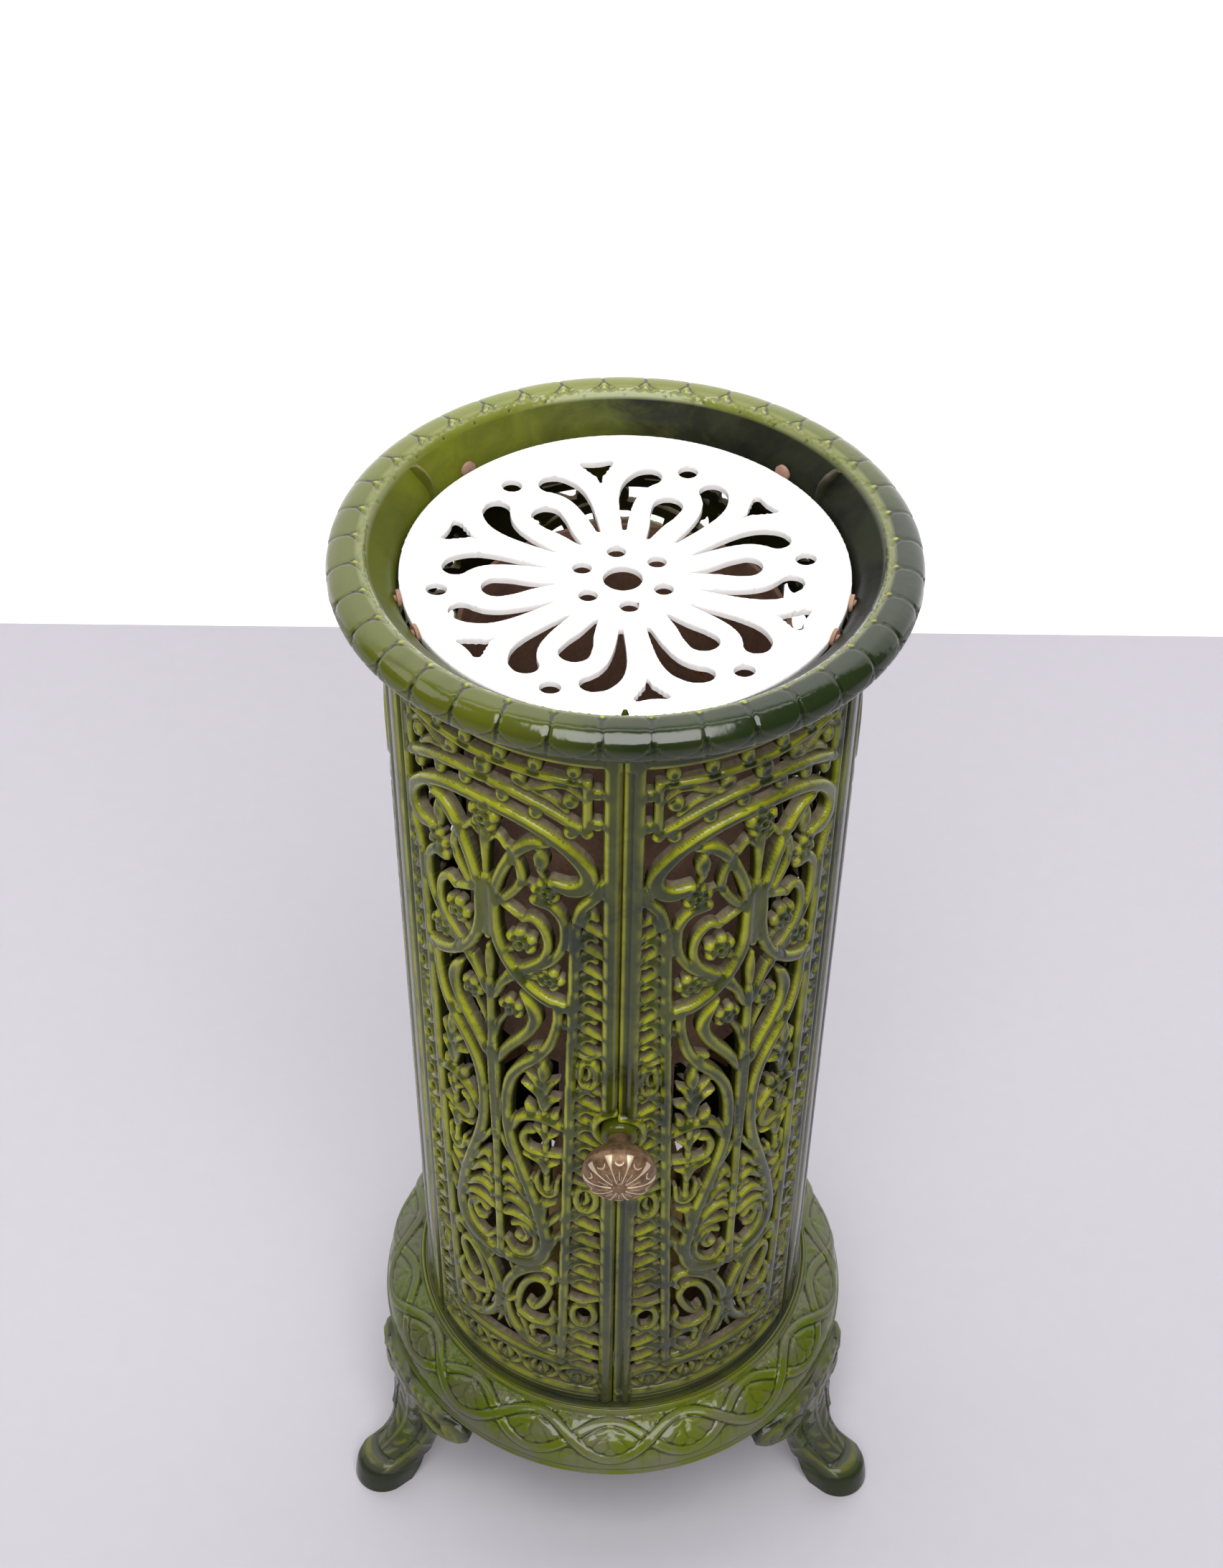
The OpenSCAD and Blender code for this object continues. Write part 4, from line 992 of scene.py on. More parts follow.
def feet():
    """Three cast feet, each a loft of sections from the ring to the sole."""
    high = box_mm("foot_rear")[1]
    tip, top = high[1], high[2]
    knee = BODY_R + 34
    front = resample([(knee, top), (knee + 1.8, top - 6), (knee + 2.5, top - 14), (knee + 2.6, top - 22),
                      (knee + 3.2, top - 32), (knee + 4.6, top - 42), (knee + 7.5, top - 50.5),
                      (knee + 12.5, top - 58), (tip - 27, top - 64.5), (tip - 19.5, top - 69),
                      (tip - 13, top - 71.7), (tip - 7, top - 73.8), (tip - 3.4, top - 76.6),
                      (tip - 1.7, top - 82), (tip - 0.6, top - 88), (tip, top - 93.2), (tip - 0.4, 0)], 0.8)
    back = spline([(134, top), (134, top - 12), (150, top - 34), (156, top - 50), (162, top - 64),
                   (170, top - 82), (tip - 32.5, 0)])
    s = arc_length(front)
    t = np.linspace(0, 1, len(front))
    sb = arc_length(back)
    back = np.column_stack([np.interp(t * sb[-1], sb, back[:, k]) for k in (0, 1)])
    rel = foot_relief(s[-1])
    step = np.gradient(front, axis=0)
    normal = np.column_stack([-step[:, 1], step[:, 0]])
    normal /= np.hypot(normal[:, 0], normal[:, 1])[:, None]
    x = np.sin(np.linspace(-1, 1, 81) * math.pi / 2 * 0.96) / math.sin(math.pi / 2 * 0.96)
    half = foot_half(front[:, 1])
    u = x[None] * half[:, None]
    ui = np.clip((u - rel.u[0]) / (rel.u[1] - rel.u[0]), 0, len(rel.u) - 1).astype(int)
    vi = np.clip(s / (rel.z[1] - rel.z[0]), 0, len(rel.z) - 1).astype(int)[:, None]
    raised = rel.h[vi, ui] * np.clip((1 - np.abs(x)) * half[:, None] / 1.5, 0, 1)
    z_f = front[:, 1, None]
    band = 1.6 * np.exp(-(((1 - np.abs(x)) * half[:, None] - 3.4) / 1.9) ** 2) * (z_f < 40) * (z_f > 19.5)
    end = 1.6 * np.exp(-((z_f - 21.8) / 1.7) ** 2) * (np.abs(x) < 0.85)
    raised = np.maximum(raised * ((z_f > 25) | (np.abs(x) > 2)), np.maximum(band, end))
    raised *= np.clip((s[-1] - s[:, None] - 2) / 12, 0, 1)
    fall = 6.5 * (1 - np.sqrt(np.clip(1 - np.abs(x) ** 4.5, 0, 1)))[None] * np.clip((z_f - 8) / 22, 0.12, 1)
    hug = np.clip((z_f - 42) / 22, 0, 1) * (HUG_R - np.sqrt(HUG_R ** 2 - u ** 2))
    inside_toe = np.clip(TOE_W ** 2 - (u * TOE_W / half[:, None]) ** 2, 0, None)
    toe = np.clip((44 - z_f) / 22, 0, 1) ** 0.7 * (TOE_W - np.sqrt(inside_toe))
    r_f = front[:, 0, None] + normal[:, 0, None] * (raised - fall) - hug - toe
    z_f = np.clip(z_f + normal[:, 1, None] * (raised - fall), 0, top)
    xb = np.linspace(0.93, -0.93, 24)
    ub = xb[None] * half[:, None]
    mid = np.argmin(np.abs(x[None] - xb[:, None]), 1)
    blend = np.clip((np.abs(ub) - 24) / 14, 0, 1)
    r_b = back[:, 0, None] * (1 - blend) + (r_f[:, mid] - 12) * blend
    z_b = back[:, 1, None] * (1 - blend) + front[:, 1, None] * blend
    r_b = np.minimum(r_b, r_f[:, mid] - 3)
    r_all, z_all, u_all = np.hstack([r_f, r_b]), np.hstack([z_f, z_b]), np.hstack([u, ub])
    rows, cols = r_all.shape
    ridge = np.hstack([np.clip(raised / 1.6 - 0.35, -0.4, 1), np.zeros(r_b.shape)])
    height = np.hstack([np.full(r_f.shape, 0.9), np.full(r_b.shape, 0.6)])
    for name, degrees in (("foot_front_left", -FOOT_A), ("foot_front_right", FOOT_A), ("foot_rear", 180)):
        a = math.radians(degrees)
        co = np.stack([r_all * math.sin(a) + u_all * math.cos(a),
                       -r_all * math.cos(a) + u_all * math.sin(a), z_all], -1).reshape(-1, 3) * MM
        enamelled(name + "_casting", [(co, outward(co, tube(rows, cols)))], [name],
                  height.ravel(), ridge.ravel())


# -------------------------------------------------------------------- grille
def grille():
    """White plate pierced by six repeats of drops, fans and round holes."""
    low, high = box_mm("grille")
    r_plate = (high[0] - low[0]) / 2
    thick = high[2] - low[2]
    rel = relief(-r_plate - 1.5, r_plate + 1.5, -r_plate - 1.5, r_plate + 1.5, 1.0)
    holes = relief(-r_plate - 1.5, r_plate + 1.5, -r_plate - 1.5, r_plate + 1.5, 1.0)
    cx, cy = -1.2, -3.5

    def at(degrees, share):
        a = math.radians(degrees)
        return cx + share * r_plate * math.sin(a), cy - share * r_plate * math.cos(a)

    holes.stamp(cx, cy, 0.088 * r_plate, dome(1))
    for k in range(6):
        mid = 38.5 + 60 * k
        holes.stamp(*at(mid, 0.825), 0.047 * r_plate, dome(1))
        holes.stamp(*at(mid + 30, 0.195), 0.044 * r_plate, dome(1))
        stroke(holes, [at(mid, f) for f in (0.31, 0.42, 0.50, 0.56)],
               [w * r_plate for w in (0.009, 0.032, 0.058, 0.070)])
        for side in (-1, 1):
            stroke(holes, [at(mid + side * d, f) for d, f in
                           ((20.4, 0.355), (20.4, 0.48), (19.4, 0.59), (17.2, 0.672), (14.0, 0.728),
                            (12.0, 0.745))],
                   [w * r_plate for w in (0.010, 0.024, 0.040, 0.055, 0.063, 0.060)])
        fan = [at(mid + 30, 0.70), at(mid + 30, 0.76)]
        stroke(holes, fan, [0.006 * r_plate, 0.018 * r_plate])
        for f, spread in ((0.77, 1.2), (0.795, 2.4), (0.82, 3.5), (0.838, 4.0)):
            for d in np.linspace(-spread, spread, 9):
                holes.stamp(*at(mid + 30 + d, f - 0.010 * (1 - (d / spread) ** 2)), 0.020 * r_plate, dome(1))
    uu, zz = np.meshgrid(rel.u, rel.z)
    rr = np.hypot(uu, zz)
    rel.s = np.clip(np.minimum(r_plate - rr, -holes.s), -9, 9)
    round_off = 1.5
    edge = np.clip(rel.s / round_off, 0, 1)
    rel.h = thick - round_off + round_off * np.sqrt(1 - (1 - edge) ** 2)
    verts, groups, rim = contour_mesh(rel, 1.0)
    sag = 5.0 * (1 - (np.hypot(verts[:, 0], verts[:, 1]) / r_plate) ** 2.5)
    co = np.column_stack([verts[:, 0], verts[:, 1], low[2] + verts[:, 2] - sag]) * MM
    plate = make_mesh("grille_plate", co, groups, {"rim": np.clip(rim, 0, 6), "height": verts[:, 2] / thick})
    dress(plate, "grille", ["grille"], WHITE)


def peg():
    """Tapered tooth that locates the grille."""
    low, high = box_mm("grille_peg")
    x, y = (low[0] + high[0]) / 2, (low[1] + high[1]) / 2
    rings = [(1.7, low[2]), (1.9, high[2] - 8), (1.5, high[2] - 3), (0.9, high[2] - 0.6), (0.3, high[2])]
    a = np.arange(16) * math.pi / 8
    rows = np.vstack([np.column_stack([x + 1.25 * q * np.cos(a), y + q * np.sin(a), np.full(16, z)])
                      for q, z in rings]) * MM
    enamelled("grille_peg_tooth", [(rows, outward(rows, tube(len(rings), 16)))], ["grille_peg"], 0.9, 0.5)


# ---------------------------------------------------------------------- knob
def knob():
    """Turned bronze knob: ribs, scalloped petals and short rays on its face."""
    neck = [(3.05, 0.2), (7.0, 0.2), (7.2, 0.5), (7.2, 12.2)]
    face = resample([(7.8, 12.9), (11.5, 13.0), (16.2, 14.2), (19.6, 17.0), (KNOB_R, 21.4), (20.7, 24.0),
                     (19.3, 27.0), (16.4, 29.8), (12.2, 31.8), (8, 32.9), (4.5, 33.3)], 0.35)
    hub = resample([(4.3, 33.4), (4.2, 34.0), (3.3, 34.5), (1.5, 34.6)], 0.4)
    profile = np.vstack([neck, face, hub, [(0.3, 34.6), (0.3, 20), (3.05, 20)]])
    n = 360
    a = np.arange(n) * 2 * math.pi / n
    bump = np.zeros((len(profile), n))
    step = 2 * math.pi / KNOB_RAYS
    off = (a + step / 2) % step - step / 2
    mid = (a % step) - step / 2
    for k, (r, depth) in enumerate(face):
        if depth > 21.4:
            half = 0.42 + 1.9 * max(0.0, (r - 13.5) / 7.0) ** 1.6
            ray = np.exp(-(np.abs(off) * r / half) ** 4) * (r < 20.4)
            short = 0.75 * np.exp(-(np.abs(mid) * r / 0.4) ** 2) * (6.5 < r < 12.5)
            quarter = 0.6 * np.exp(-((np.abs(mid) - step * 0.25) * r / 0.3) ** 2) * (r < 9.5)
            smile_r = 16.2 + 1.5 * (np.abs(mid) * r / 2.6) ** 2
            smile = 0.95 * np.exp(-((r - smile_r) / 0.45) ** 2) * (np.abs(mid) * r < 2.5)
            bump[len(neck) + k] = 0.55 * np.maximum.reduce([ray, short, quarter, smile])
        elif depth < 16:
            bump[len(neck) + k] = -0.2 * (math.sin(r * 3.4) > 0.4)
    co, faces = wheel_y(profile, n, (KNOB_X, 0, KNOB_Z), bump=bump)
    co[:, 1] += KNOB_HIGH[1] * MM
    wheel = make_mesh("knob_turned", co, faces, {"ridge": np.clip(bump / 0.55, 0, 1)}, sharp_deg=60)
    dress(wheel, "latch", ["knob"], BRONZE)


# ----------------------------------------------------------------- materials
# Bounds of the glaze's zones, in metres.
RIM_FROM, BASE_TO, FOOT_TO = 0.714, 0.130, 0.0955    # heights
CREST_R, BOWL_R = 0.1362, 0.1335                     # radii on the top ring


class Paint:
    """Short-hand for one procedural material."""

    def __init__(self, name):
        self.mat = bpy.data.materials.new(name)
        self.mat.use_nodes = True
        self.tree = self.mat.node_tree
        self.tree.nodes.clear()
        self.place = self.new("TexCoord").outputs["Object"]

    def new(self, kind, inputs=(), **props):
        n = self.tree.nodes.new("ShaderNode" + kind)
        for key, value in props.items():
            setattr(n, key, value)
        for key, value in dict(inputs).items():
            self.put(n.inputs[key], value)
        return n

    def put(self, socket, value):
        if isinstance(value, bpy.types.NodeSocket):
            self.tree.links.new(value, socket)
        elif isinstance(value, tuple) and len(value) == 3 and socket.type == "RGBA":
            socket.default_value = (*value, 1)
        else:
            socket.default_value = value

    def math(self, op, a, b=0.0):
        return self.new("Math", {0: a, 1: b}, operation=op).outputs[0]

    def mul(self, a, *others):
        for b in others:
            a = self.math("MULTIPLY", a, b)
        return a

    def add(self, a, *others):
        for b in others:
            a = self.math("ADD", a, b)
        return a

    def sub(self, a, b):
        return self.math("SUBTRACT", a, b)

    def top(self, a, b):
        return self.math("MAXIMUM", a, b)

    def off(self, a, b):
        """Distance between two values."""
        return self.math("ABSOLUTE", self.sub(a, b))

    def mix(self, factor, a, b):
        return self.new("Mix", {0: factor, 6: a, 7: b}, data_type="RGBA").outputs[2]

    def mottle(self, value, low, high, a, b):
        """Blend of two colours where a value runs from low to high."""
        return self.mix(self.span(value, low, high), a, b)

    def noise(self, scale, detail=2.0, rough=0.5, warp=0.0):
        return self.new("TexNoise", {"Vector": self.place, "Scale": scale, "Detail": detail,
                                     "Roughness": rough, "Distortion": warp}).outputs["Fac"]

    def cells(self, scale):
        return self.new("TexVoronoi", {"Vector": self.place, "Scale": scale}).outputs["Distance"]

    def span(self, value, low, high, to_low=0.0, to_high=1.0):
        return self.new("MapRange", {0: value, 1: low, 2: high, 3: to_low, 4: to_high}).outputs[0]

    def attribute(self, name):
        return self.new("Attribute", attribute_name=name).outputs["Fac"]

    def normal(self, index):
        normal = self.new("NewGeometry").outputs["Normal"]
        return self.new("SeparateXYZ", {0: normal}).outputs[index]

    def axis(self, index):
        return self.new("SeparateXYZ", {0: self.place}).outputs[index]

    def bump(self, height, strength, distance, base=None):
        inputs = {"Height": height, "Strength": strength, "Distance": distance}
        return self.new("Bump", inputs if base is None else {**inputs, "Normal": base}).outputs[0]

    def finish(self, **inputs):
        shader = self.new("BsdfPrincipled", {k.replace("_", " "): v for k, v in inputs.items()})
        self.new("OutputMaterial", {0: shader.outputs[0]})
        return self.mat


def green_glaze():
    """Majolica glaze: dark pools, olive flats, thin lime edges with painted light on them, dust inside,
    painted shade on the bowl wall and a painted sheen on the front of the base ring.
    """
    p = Paint("green_glaze")
    height, rim, ridge = p.attribute("height"), p.attribute("rim"), p.attribute("ridge")
    x, y, z = (p.axis(k) for k in range(3))
    radius = p.math("SQRT", p.add(p.mul(x, x), p.mul(y, y)))
    top = p.span(z, RIM_FROM, RIM_FROM + 0.003)
    base = p.span(z, BASE_TO, BASE_TO - 0.0008)
    foot = p.mul(base, p.span(z, FOOT_TO, FOOT_TO - 0.003))
    broad = p.noise(9, 3, 0.55, 0.4)
    patch = p.noise(34, 4, 0.6, 0.6)
    fine = p.noise(260, 4, 0.6)
    up, side = p.normal(2), p.normal(0)

    # flats of the straps
    left = p.span(x, -0.15, 0.15, 0.12, -0.12)
    left = p.mul(left, p.span(top, 0, 1, 0.9, 2.2))
    lime = p.add(p.mul(broad, 0.70), p.mul(patch, 0.40), left)
    flat = p.mottle(lime, 0.45, 0.69, (0.011, 0.019, 0.004), (0.082, 0.094, 0.004))
    flat = p.mix(p.span(fine, 0.45, 0.75, 0, 0.15), flat, (0.075, 0.078, 0.028))
    flat = p.mix(p.span(z, 0.36, 0.15, 0, 0.5), flat, (0.050, 0.051, 0.030))

    # rim: lighter at the back, nearly black at the front right
    back = p.mul(top, p.span(y, 0.02, 0.13, 0, 0.65))
    flat = p.mix(back, flat, (0.210, 0.235, 0.020))
    dark = p.add(p.mul(y, -1.0), p.mul(x, 0.35))
    dark = p.mul(top, p.span(p.add(dark, p.mul(patch, 0.03)), 0.125, 0.165, 0, 0.8))
    flat = p.mix(dark, flat, (0.012, 0.022, 0.004))

    # base ring and feet
    # painted sheen: the front of the base ring is painted paler, standing in for its highlight
    painted_front_sheen = p.mul(p.span(p.off(x, 0.025), 0.13, 0.03, 0, 0.6), base)
    ground = p.mottle(patch, 0.42, 0.56, (0.084, 0.088, 0.036), (0.068, 0.094, 0.004))
    ground = p.mix(painted_front_sheen, ground, p.mottle(patch, 0.42, 0.56, (0.180, 0.182, 0.092), (0.145, 0.175, 0.010)))
    ground = p.mix(foot, ground, p.mottle(patch, 0.44, 0.62, (0.052, 0.056, 0.038), (0.046, 0.062, 0.012)))
    flat = p.mix(base, flat, ground)

    # dark creases and thin lime edges; the edges carry painted light, brightest where they face up and to the
    # left
    pool = p.mul(p.span(ridge, -0.05, -0.40), p.span(base, 0, 1, 0.9, 0.75))
    colour = p.mix(pool, flat, (0.006, 0.011, 0.002))
    # painted light: lime edges are made brighter where the surface faces up and to the left, darker where it
    # faces down
    painted_light_facing = p.sub(p.mul(up, 0.8), p.mul(side, 0.6))
    thin_glaze_and_painted_light = p.top(p.span(ridge, 0.26, 0.70), p.span(rim, 0.8, 0.1, 0, 0.7))
    thin_glaze_and_painted_light = p.mul(thin_glaze_and_painted_light, p.span(patch, 0.30, 0.58, 0.30, 1.0))
    thin_glaze_and_painted_light = p.mul(thin_glaze_and_painted_light, p.span(painted_light_facing, -0.45, 0.30, 0.25, 1.0))
    thin_glaze_and_painted_light = p.mul(thin_glaze_and_painted_light, p.span(p.add(base, foot), 0, 2, 1.0, 0.30))
    thin_glaze_and_painted_light = p.mul(thin_glaze_and_painted_light, p.top(base, p.span(z, 0.15, 0.36, 0.45, 1.0)))
    colour = p.mix(thin_glaze_and_painted_light, colour, (0.340, 0.350, 0.016))
    # pale chips of wear on the edges, weighted by the same painted light
    chips = p.mul(thin_glaze_and_painted_light, p.span(fine, 0.66, 0.74))
    colour = p.mix(p.mul(chips, 0.6), colour, (0.44, 0.37, 0.16))

    # rim crest, and on the bowl wall soot with painted shade that grows towards the right
    crest = p.mul(top, p.span(p.off(radius, CREST_R),
                                           0.0030, 0.0008, 0, 0.6))
    colour = p.mix(crest, colour, (0.240, 0.260, 0.085))
    bowl = p.mul(top, p.span(radius, BOWL_R, BOWL_R - 0.0017))
    # noise that streaks the edge of the painted shade on the bowl wall
    streaks = p.mul(p.sub(p.noise(26, 5, 0.7, 1.2), 0.5), 0.22)
    # painted shade: the bowl wall is darkened towards the right, over soot and dirty streaks
    bowl_soot_and_shade = p.mul(bowl, p.span(p.add(x, streaks), -0.13, 0.05, 0.15, 0.97))
    colour = p.mix(bowl_soot_and_shade, colour, p.mottle(patch, 0.35, 0.65, (0.006, 0.006, 0.006), (0.019, 0.021, 0.012)))

    # dust on walls below the face
    deep = p.span(height, 0.72, 0.40)
    dusty = p.mottle(fine, 0.3, 0.7, (0.120, 0.094, 0.066), (0.230, 0.188, 0.142))
    wall = p.mix(p.span(up, 0.15, 0.75), (0.014, 0.014, 0.008), dusty)
    colour = p.mix(p.mul(deep, 0.92), colour, wall)

    rough = p.add(p.span(patch, 0.3, 0.8, 0.10, 0.24), p.mul(deep, 0.45))
    rough = p.add(rough, p.mul(bowl, 0.25))
    gloss = p.add(p.mul(top, 0.22), 0.42)
    gloss = p.mul(gloss, p.span(p.top(bowl, deep), 0, 1, 1, 0.08))
    gloss = p.mul(gloss, p.span(foot, 0, 1, 1, 0.6))
    normal = p.bump(p.noise(120, 2, 0.5), 0.22, 0.0012)
    normal = p.bump(fine, 0.10, 0.0004, normal)
    return p.finish(Base_Color=colour, Roughness=rough, Specular_IOR_Level=gloss, Normal=normal)


def white_enamel():
    p = Paint("white_enamel")
    rim = p.attribute("rim")
    fine = p.noise(300, 3, 0.6)
    colour = p.mottle(p.noise(20, 3), 0.35, 0.7, (0.90, 0.885, 0.875), (0.95, 0.945, 0.94))
    # painted shade: the walls and underside of the holes are painted a darker pinkish grey
    painted_hole_shade = p.span(p.attribute("height"), 0.75, 0.2)
    colour = p.mix(p.mul(painted_hole_shade, 0.35), colour, (0.72, 0.64, 0.60))
    spots = p.cells(42.0)
    chip = p.mul(p.span(spots, 0.055, 0.035), p.span(rim, 1.6, 0.4))
    colour = p.mix(chip, colour, (0.05, 0.04, 0.035))
    normal = p.bump(fine, 0.05, 0.0004)
    return p.finish(Base_Color=colour, Roughness=p.span(fine, 0.3, 0.7, 0.14, 0.24), Normal=normal,
                    Coat_Weight=0.3, Coat_Roughness=0.05)


def bronze():
    p = Paint("aged_bronze")
    ridge = p.attribute("ridge")
    fine, coarse = p.noise(700, 4, 0.65), p.noise(160, 3, 0.6)
    colour = p.mottle(coarse, 0.35, 0.68, (0.130, 0.072, 0.036), (0.330, 0.205, 0.110))
    colour = p.mix(p.span(fine, 0.45, 0.7, 0, 0.5), colour, (0.07, 0.042, 0.026))
    colour = p.mix(p.span(ridge, 0.25, 0.8), colour, (0.72, 0.56, 0.40))
    return p.finish(Base_Color=colour, Metallic=0.55, Roughness=p.span(coarse, 0.3, 0.7, 0.34, 0.52),
                    Normal=p.bump(fine, 0.35, 0.0004))


def mottled(name, broad, fine, tones, specks, metal, rough, grain, rust=False):
    """Metal with two broad tones and fine specks.

    rough names its noise and its range; grain is (strength, depth in metres).
    """
    p = Paint(name)
    noise = {"broad": p.noise(*broad), "fine": p.noise(*fine)}
    broad, fine = noise.values()
    rough = p.span(noise[rough[0]], 0.3, 0.7, *rough[1:])
    colour = p.mottle(broad, *tones)
    if rust:
        spots = p.mul(p.span(broad, 0.6, 0.72), p.span(fine, 0.4, 0.6))
        colour = p.mix(spots, colour, (0.36, 0.14, 0.035))
    colour = p.mix(p.span(fine, *specks[0]), colour, specks[1])
    return p.finish(Base_Color=colour, Metallic=metal, Roughness=rough, Normal=p.bump(fine, *grain))


def rusty_sheet():
    return mottled("rusty_sheet", (26, 4, 0.65, 0.8), (420, 4, 0.7),
                   (0.34, 0.66, (0.260, 0.148, 0.102), (0.420, 0.245, 0.160)),
                   ((0.4, 0.75, 0, 0.35), (0.09, 0.052, 0.036)), 0.1, ("fine", 0.62, 0.86),
                   (0.5, 0.0005), rust=True)


def dark_steel():
    return mottled("dark_steel", (90, 3, 0.6), (650, 4, 0.65),
                   (0.38, 0.66, (0.075, 0.062, 0.055), (0.150, 0.082, 0.050)),
                   ((0.5, 0.7, 0, 0.6), (0.19, 0.085, 0.045)), 0.5, ("fine", 0.42, 0.72), (0.4, 0.0004))


def tank_brass():
    return mottled("tank_brass", (34, 4, 0.6, 0.7), (520, 3, 0.6),
                   (0.35, 0.66, (0.30, 0.19, 0.07), (0.50, 0.35, 0.14)),
                   ((0.52, 0.72, 0, 0.5), (0.13, 0.08, 0.035)), 0.85, ("broad", 0.30, 0.52), (0.2, 0.0003))


def wick_cotton():
    p = Paint("wick_cotton")
    weave = p.new("TexWave", {"Vector": p.place, "Scale": 330.0, "Distortion": 1.5},
                  bands_direction="Z").outputs["Fac"]
    char = p.span(p.axis(2), 0.2525, 0.2590)
    colour = p.mix(weave, (0.50, 0.44, 0.33), (0.72, 0.67, 0.55))
    colour = p.mix(char, colour, (0.03, 0.025, 0.02))
    return p.finish(Base_Color=colour, Roughness=0.95, Normal=p.bump(weave, 0.6, 0.0006))


def seal_fibre():
    p = Paint("seal_fibre")
    fine = p.noise(900, 4, 0.7)
    colour = p.mix(fine, (0.035, 0.028, 0.024), (0.10, 0.07, 0.055))
    return p.finish(Base_Color=colour, Roughness=0.9, Normal=p.bump(fine, 0.4, 0.0003))


def mica():
    p = Paint("mica")
    flakes = p.cells(160.0)
    colour = p.mix(flakes, (0.62, 0.48, 0.30), (0.80, 0.70, 0.52))
    return p.finish(Base_Color=colour, Roughness=0.22, Transmission_Weight=0.55, Alpha=0.85,
                    Normal=p.bump(flakes, 0.15, 0.0003))


def floor_paint():
    p = Paint("pale_floor")
    colour = p.mix(p.noise(60, 4, 0.6), (0.512, 0.490, 0.532), (0.538, 0.515, 0.558))
    spots = p.span(p.noise(420, 2, 0.5), 0.70, 0.76, 0, 0.12)
    colour = p.mix(spots, colour, (0.45, 0.42, 0.40))
    return p.finish(Base_Color=colour, Roughness=0.55, Specular_IOR_Level=0.2)


def wall_paint():
    """White wall that is clear when seen from behind."""
    p = Paint("white_wall")
    colour = p.mix(p.noise(8, 2), (0.93, 0.925, 0.93), (0.96, 0.955, 0.96))
    face = p.new("BsdfPrincipled", {"Base Color": colour, "Roughness": 0.9,
                                    "Emission Color": (1.0, 0.99, 1.0), "Emission Strength": 0.6}).outputs[0]
    clear = p.new("BsdfTransparent").outputs[0]
    behind = p.new("NewGeometry").outputs["Backfacing"]
    p.new("OutputMaterial", {"Surface": p.new("MixShader", {0: behind, 1: face, 2: clear}).outputs[0]})
    return p.mat


GLAZE, WHITE, BRONZE = green_glaze(), white_enamel(), bronze()
RUST, STEEL, BRASS = rusty_sheet(), dark_steel(), tank_brass()
CAD_PAINT = {
    RUST: ["seam_straps", "strap_screws", "ring_screws", "heat_drum", "drum_brackets", "drum_rivets",
           "bracket_screws", "chimney"],
    STEEL: ["foot_bolts", "floor_tray", "hinge_pins_left", "hinge_pins_right", "latch_spindle",
            "latch_washer", "latch_tongue", "latch_nut", "wick_shaft", "wick_pinion", "flame_spreader"],
    BRASS: ["fuel_tank", "filler_neck", "filler_cap", "burner_body", "inner_draught_tube", "wick_wheel"],
    wick_cotton(): ["wick"],
    seal_fibre(): ["cap_seal"],
    mica(): ["mica_window"],
}


def paint_cad():
    for paint, names in CAD_PAINT.items():
        for name in names:
            ob = frame["nodes"][name]
            ob.data.materials.clear()
            ob.data.materials.append(paint)


# --------------------------------------------------------------------- stage
def quad(name, corners, paint):
    mesh = bpy.data.meshes.new(name)
    mesh.from_pydata(corners, [], [(0, 1, 2, 3)])
    ob = bpy.data.objects.new(name, mesh)
    bpy.context.collection.objects.link(ob)
    ob.data.materials.append(paint)


WALL_Y = 0.825                 # distance from the axis to the wall, metres


def stage():
    wide, deep, tall = 4.0, -4.0, 4.0
    quad("floor", [(-wide, deep, 0), (wide, deep, 0), (wide, WALL_Y, 0), (-wide, WALL_Y, 0)], floor_paint())
    quad("wall", [(-wide, WALL_Y, 0), (wide, WALL_Y, 0), (wide, WALL_Y, tall), (-wide, WALL_Y, tall)],
         wall_paint())


def area_light(name, place, target, size, power):
    data = bpy.data.lights.new(name, "AREA")
    data.shape, data.size, data.size_y = "RECTANGLE", size[0], size[1]
    data.energy = power
    ob = bpy.data.objects.new(name, data)
    bpy.context.collection.objects.link(ob)
    aim = Vector(target) - Vector(place)
    ob.location = place
    ob.rotation_euler = aim.to_track_quat("-Z", "Y").to_euler()


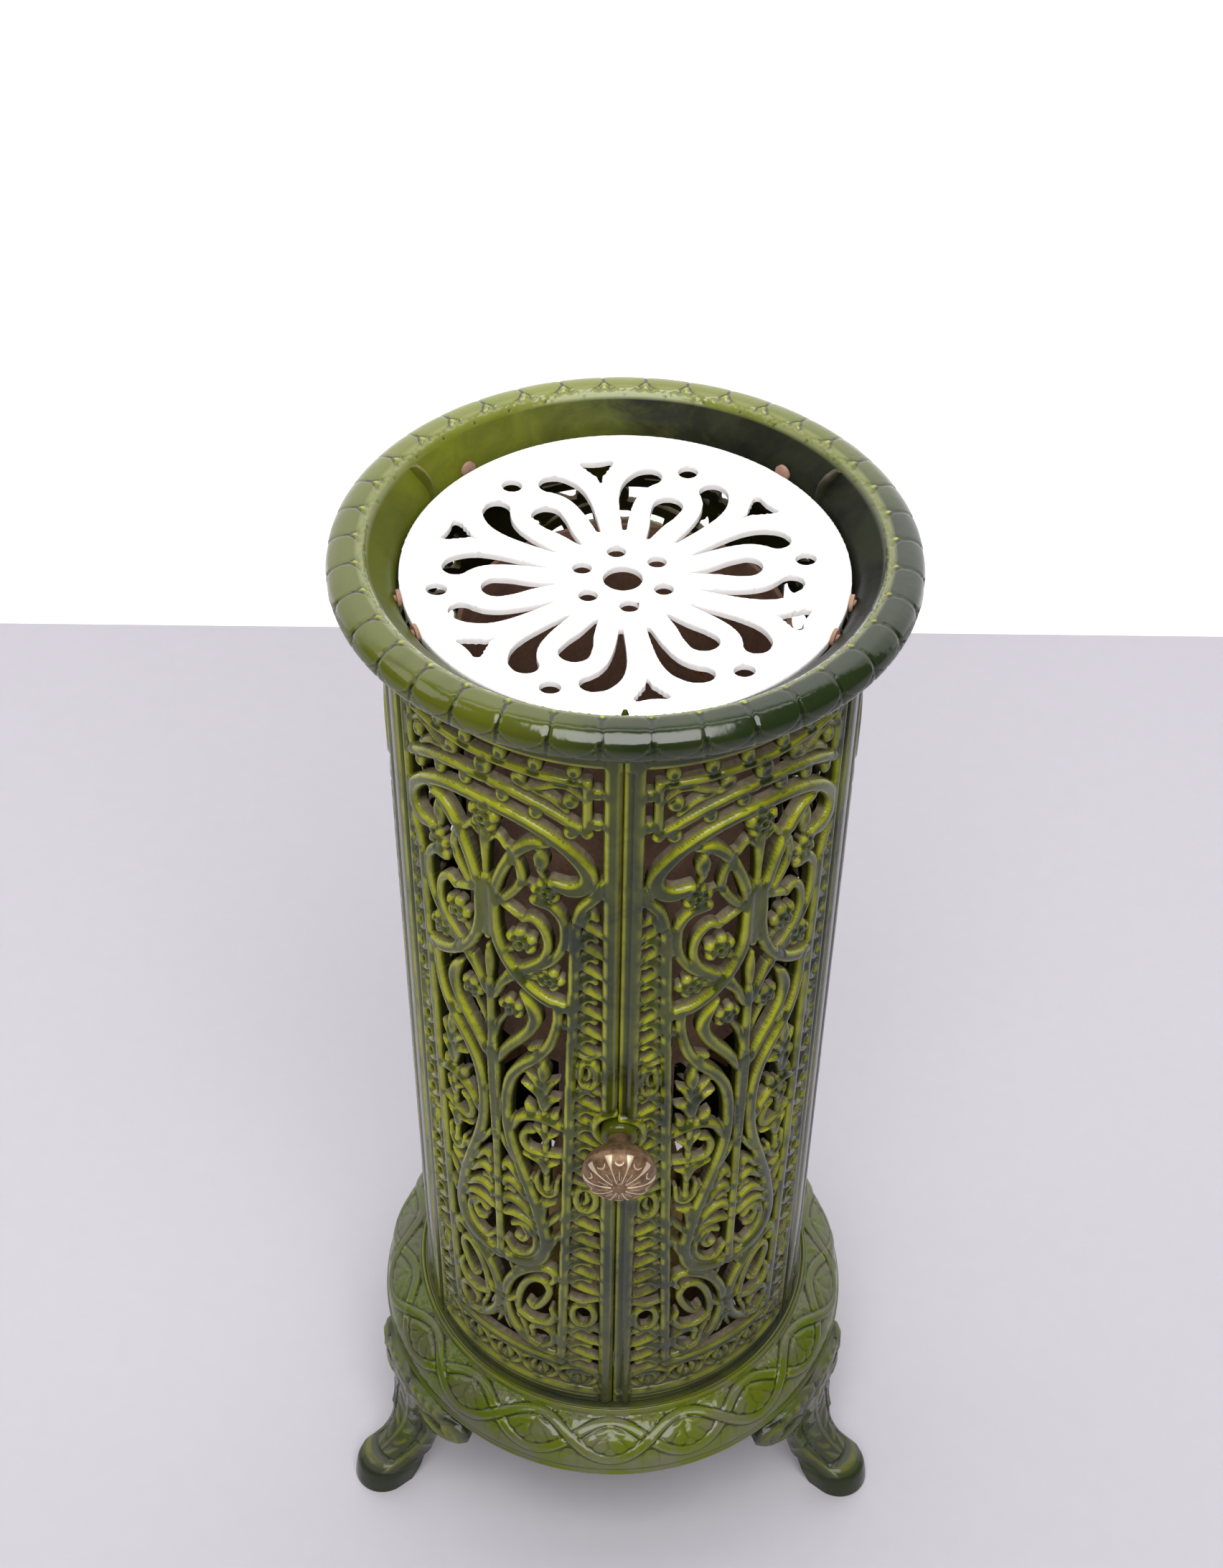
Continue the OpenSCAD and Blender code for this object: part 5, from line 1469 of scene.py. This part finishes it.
def lights():
    """Soft white room, dimmer in reflections, with two large softboxes."""
    world = bpy.data.worlds.new("studio")
    bpy.context.scene.world = world
    world.use_nodes = True
    nodes, links = world.node_tree.nodes, world.node_tree.links
    back = nodes["Background"]
    back.inputs[0].default_value = (0.98, 0.985, 1.0, 1)
    path = nodes.new("ShaderNodeLightPath")
    power = nodes.new("ShaderNodeMapRange")
    power.inputs[3].default_value = 0.22
    power.inputs[4].default_value = 0.10
    links.new(path.outputs["Is Glossy Ray"], power.inputs[0])
    links.new(power.outputs[0], back.inputs[1])
    area_light("softbox_front", (0.1, -1.30, 2.5), (0, 0, 0.6), (1.9, 1.9), 62)
    area_light("softbox_left", (-2.2, -0.2, 2.4), (0, 0, 0.45), (1.2, 1.2), 8)
    area_light("wall_wash", (0, 0.2, 3.2), (0, WALL_Y, 1.3), (3.2, 0.4), 10)


CAMERA_PLACE = (-0.00911, -0.92465, 1.45619)
CAMERA_PITCH, CAMERA_ROLL, CAMERA_YAW = 43.673, 0.764, -0.216   # degrees
CAMERA_LENS, SENSOR = 51.84, 36.0                              # millimetres


def camera():
    """Stands in front, looking steeply down."""
    th, roll, yaw = (math.radians(v) for v in (CAMERA_PITCH, CAMERA_ROLL, CAMERA_YAW))
    turn = Matrix.Rotation(yaw, 3, "Z")
    right = turn @ Vector((1, 0, 0))
    ahead = turn @ Vector((0, math.cos(th), -math.sin(th)))
    up = turn @ Vector((0, math.sin(th), math.cos(th)))
    x = math.cos(roll) * right + math.sin(roll) * up
    y = -math.sin(roll) * right + math.cos(roll) * up
    data = bpy.data.cameras.new("camera")
    data.lens, data.sensor_width, data.sensor_fit = CAMERA_LENS, SENSOR, "AUTO"
    ob = bpy.data.objects.new("camera", data)
    bpy.context.collection.objects.link(ob)
    rows = Matrix((x, y, -ahead)).transposed().to_4x4()
    ob.matrix_world = Matrix.Translation(CAMERA_PLACE) @ rows
    bpy.context.scene.camera = ob


body_castings()
top_ring()
base_ring()
feet()
grille()
peg()
knob()
paint_cad()
stage()
lights()
camera()
bpy.context.scene.view_settings.view_transform = "Standard"
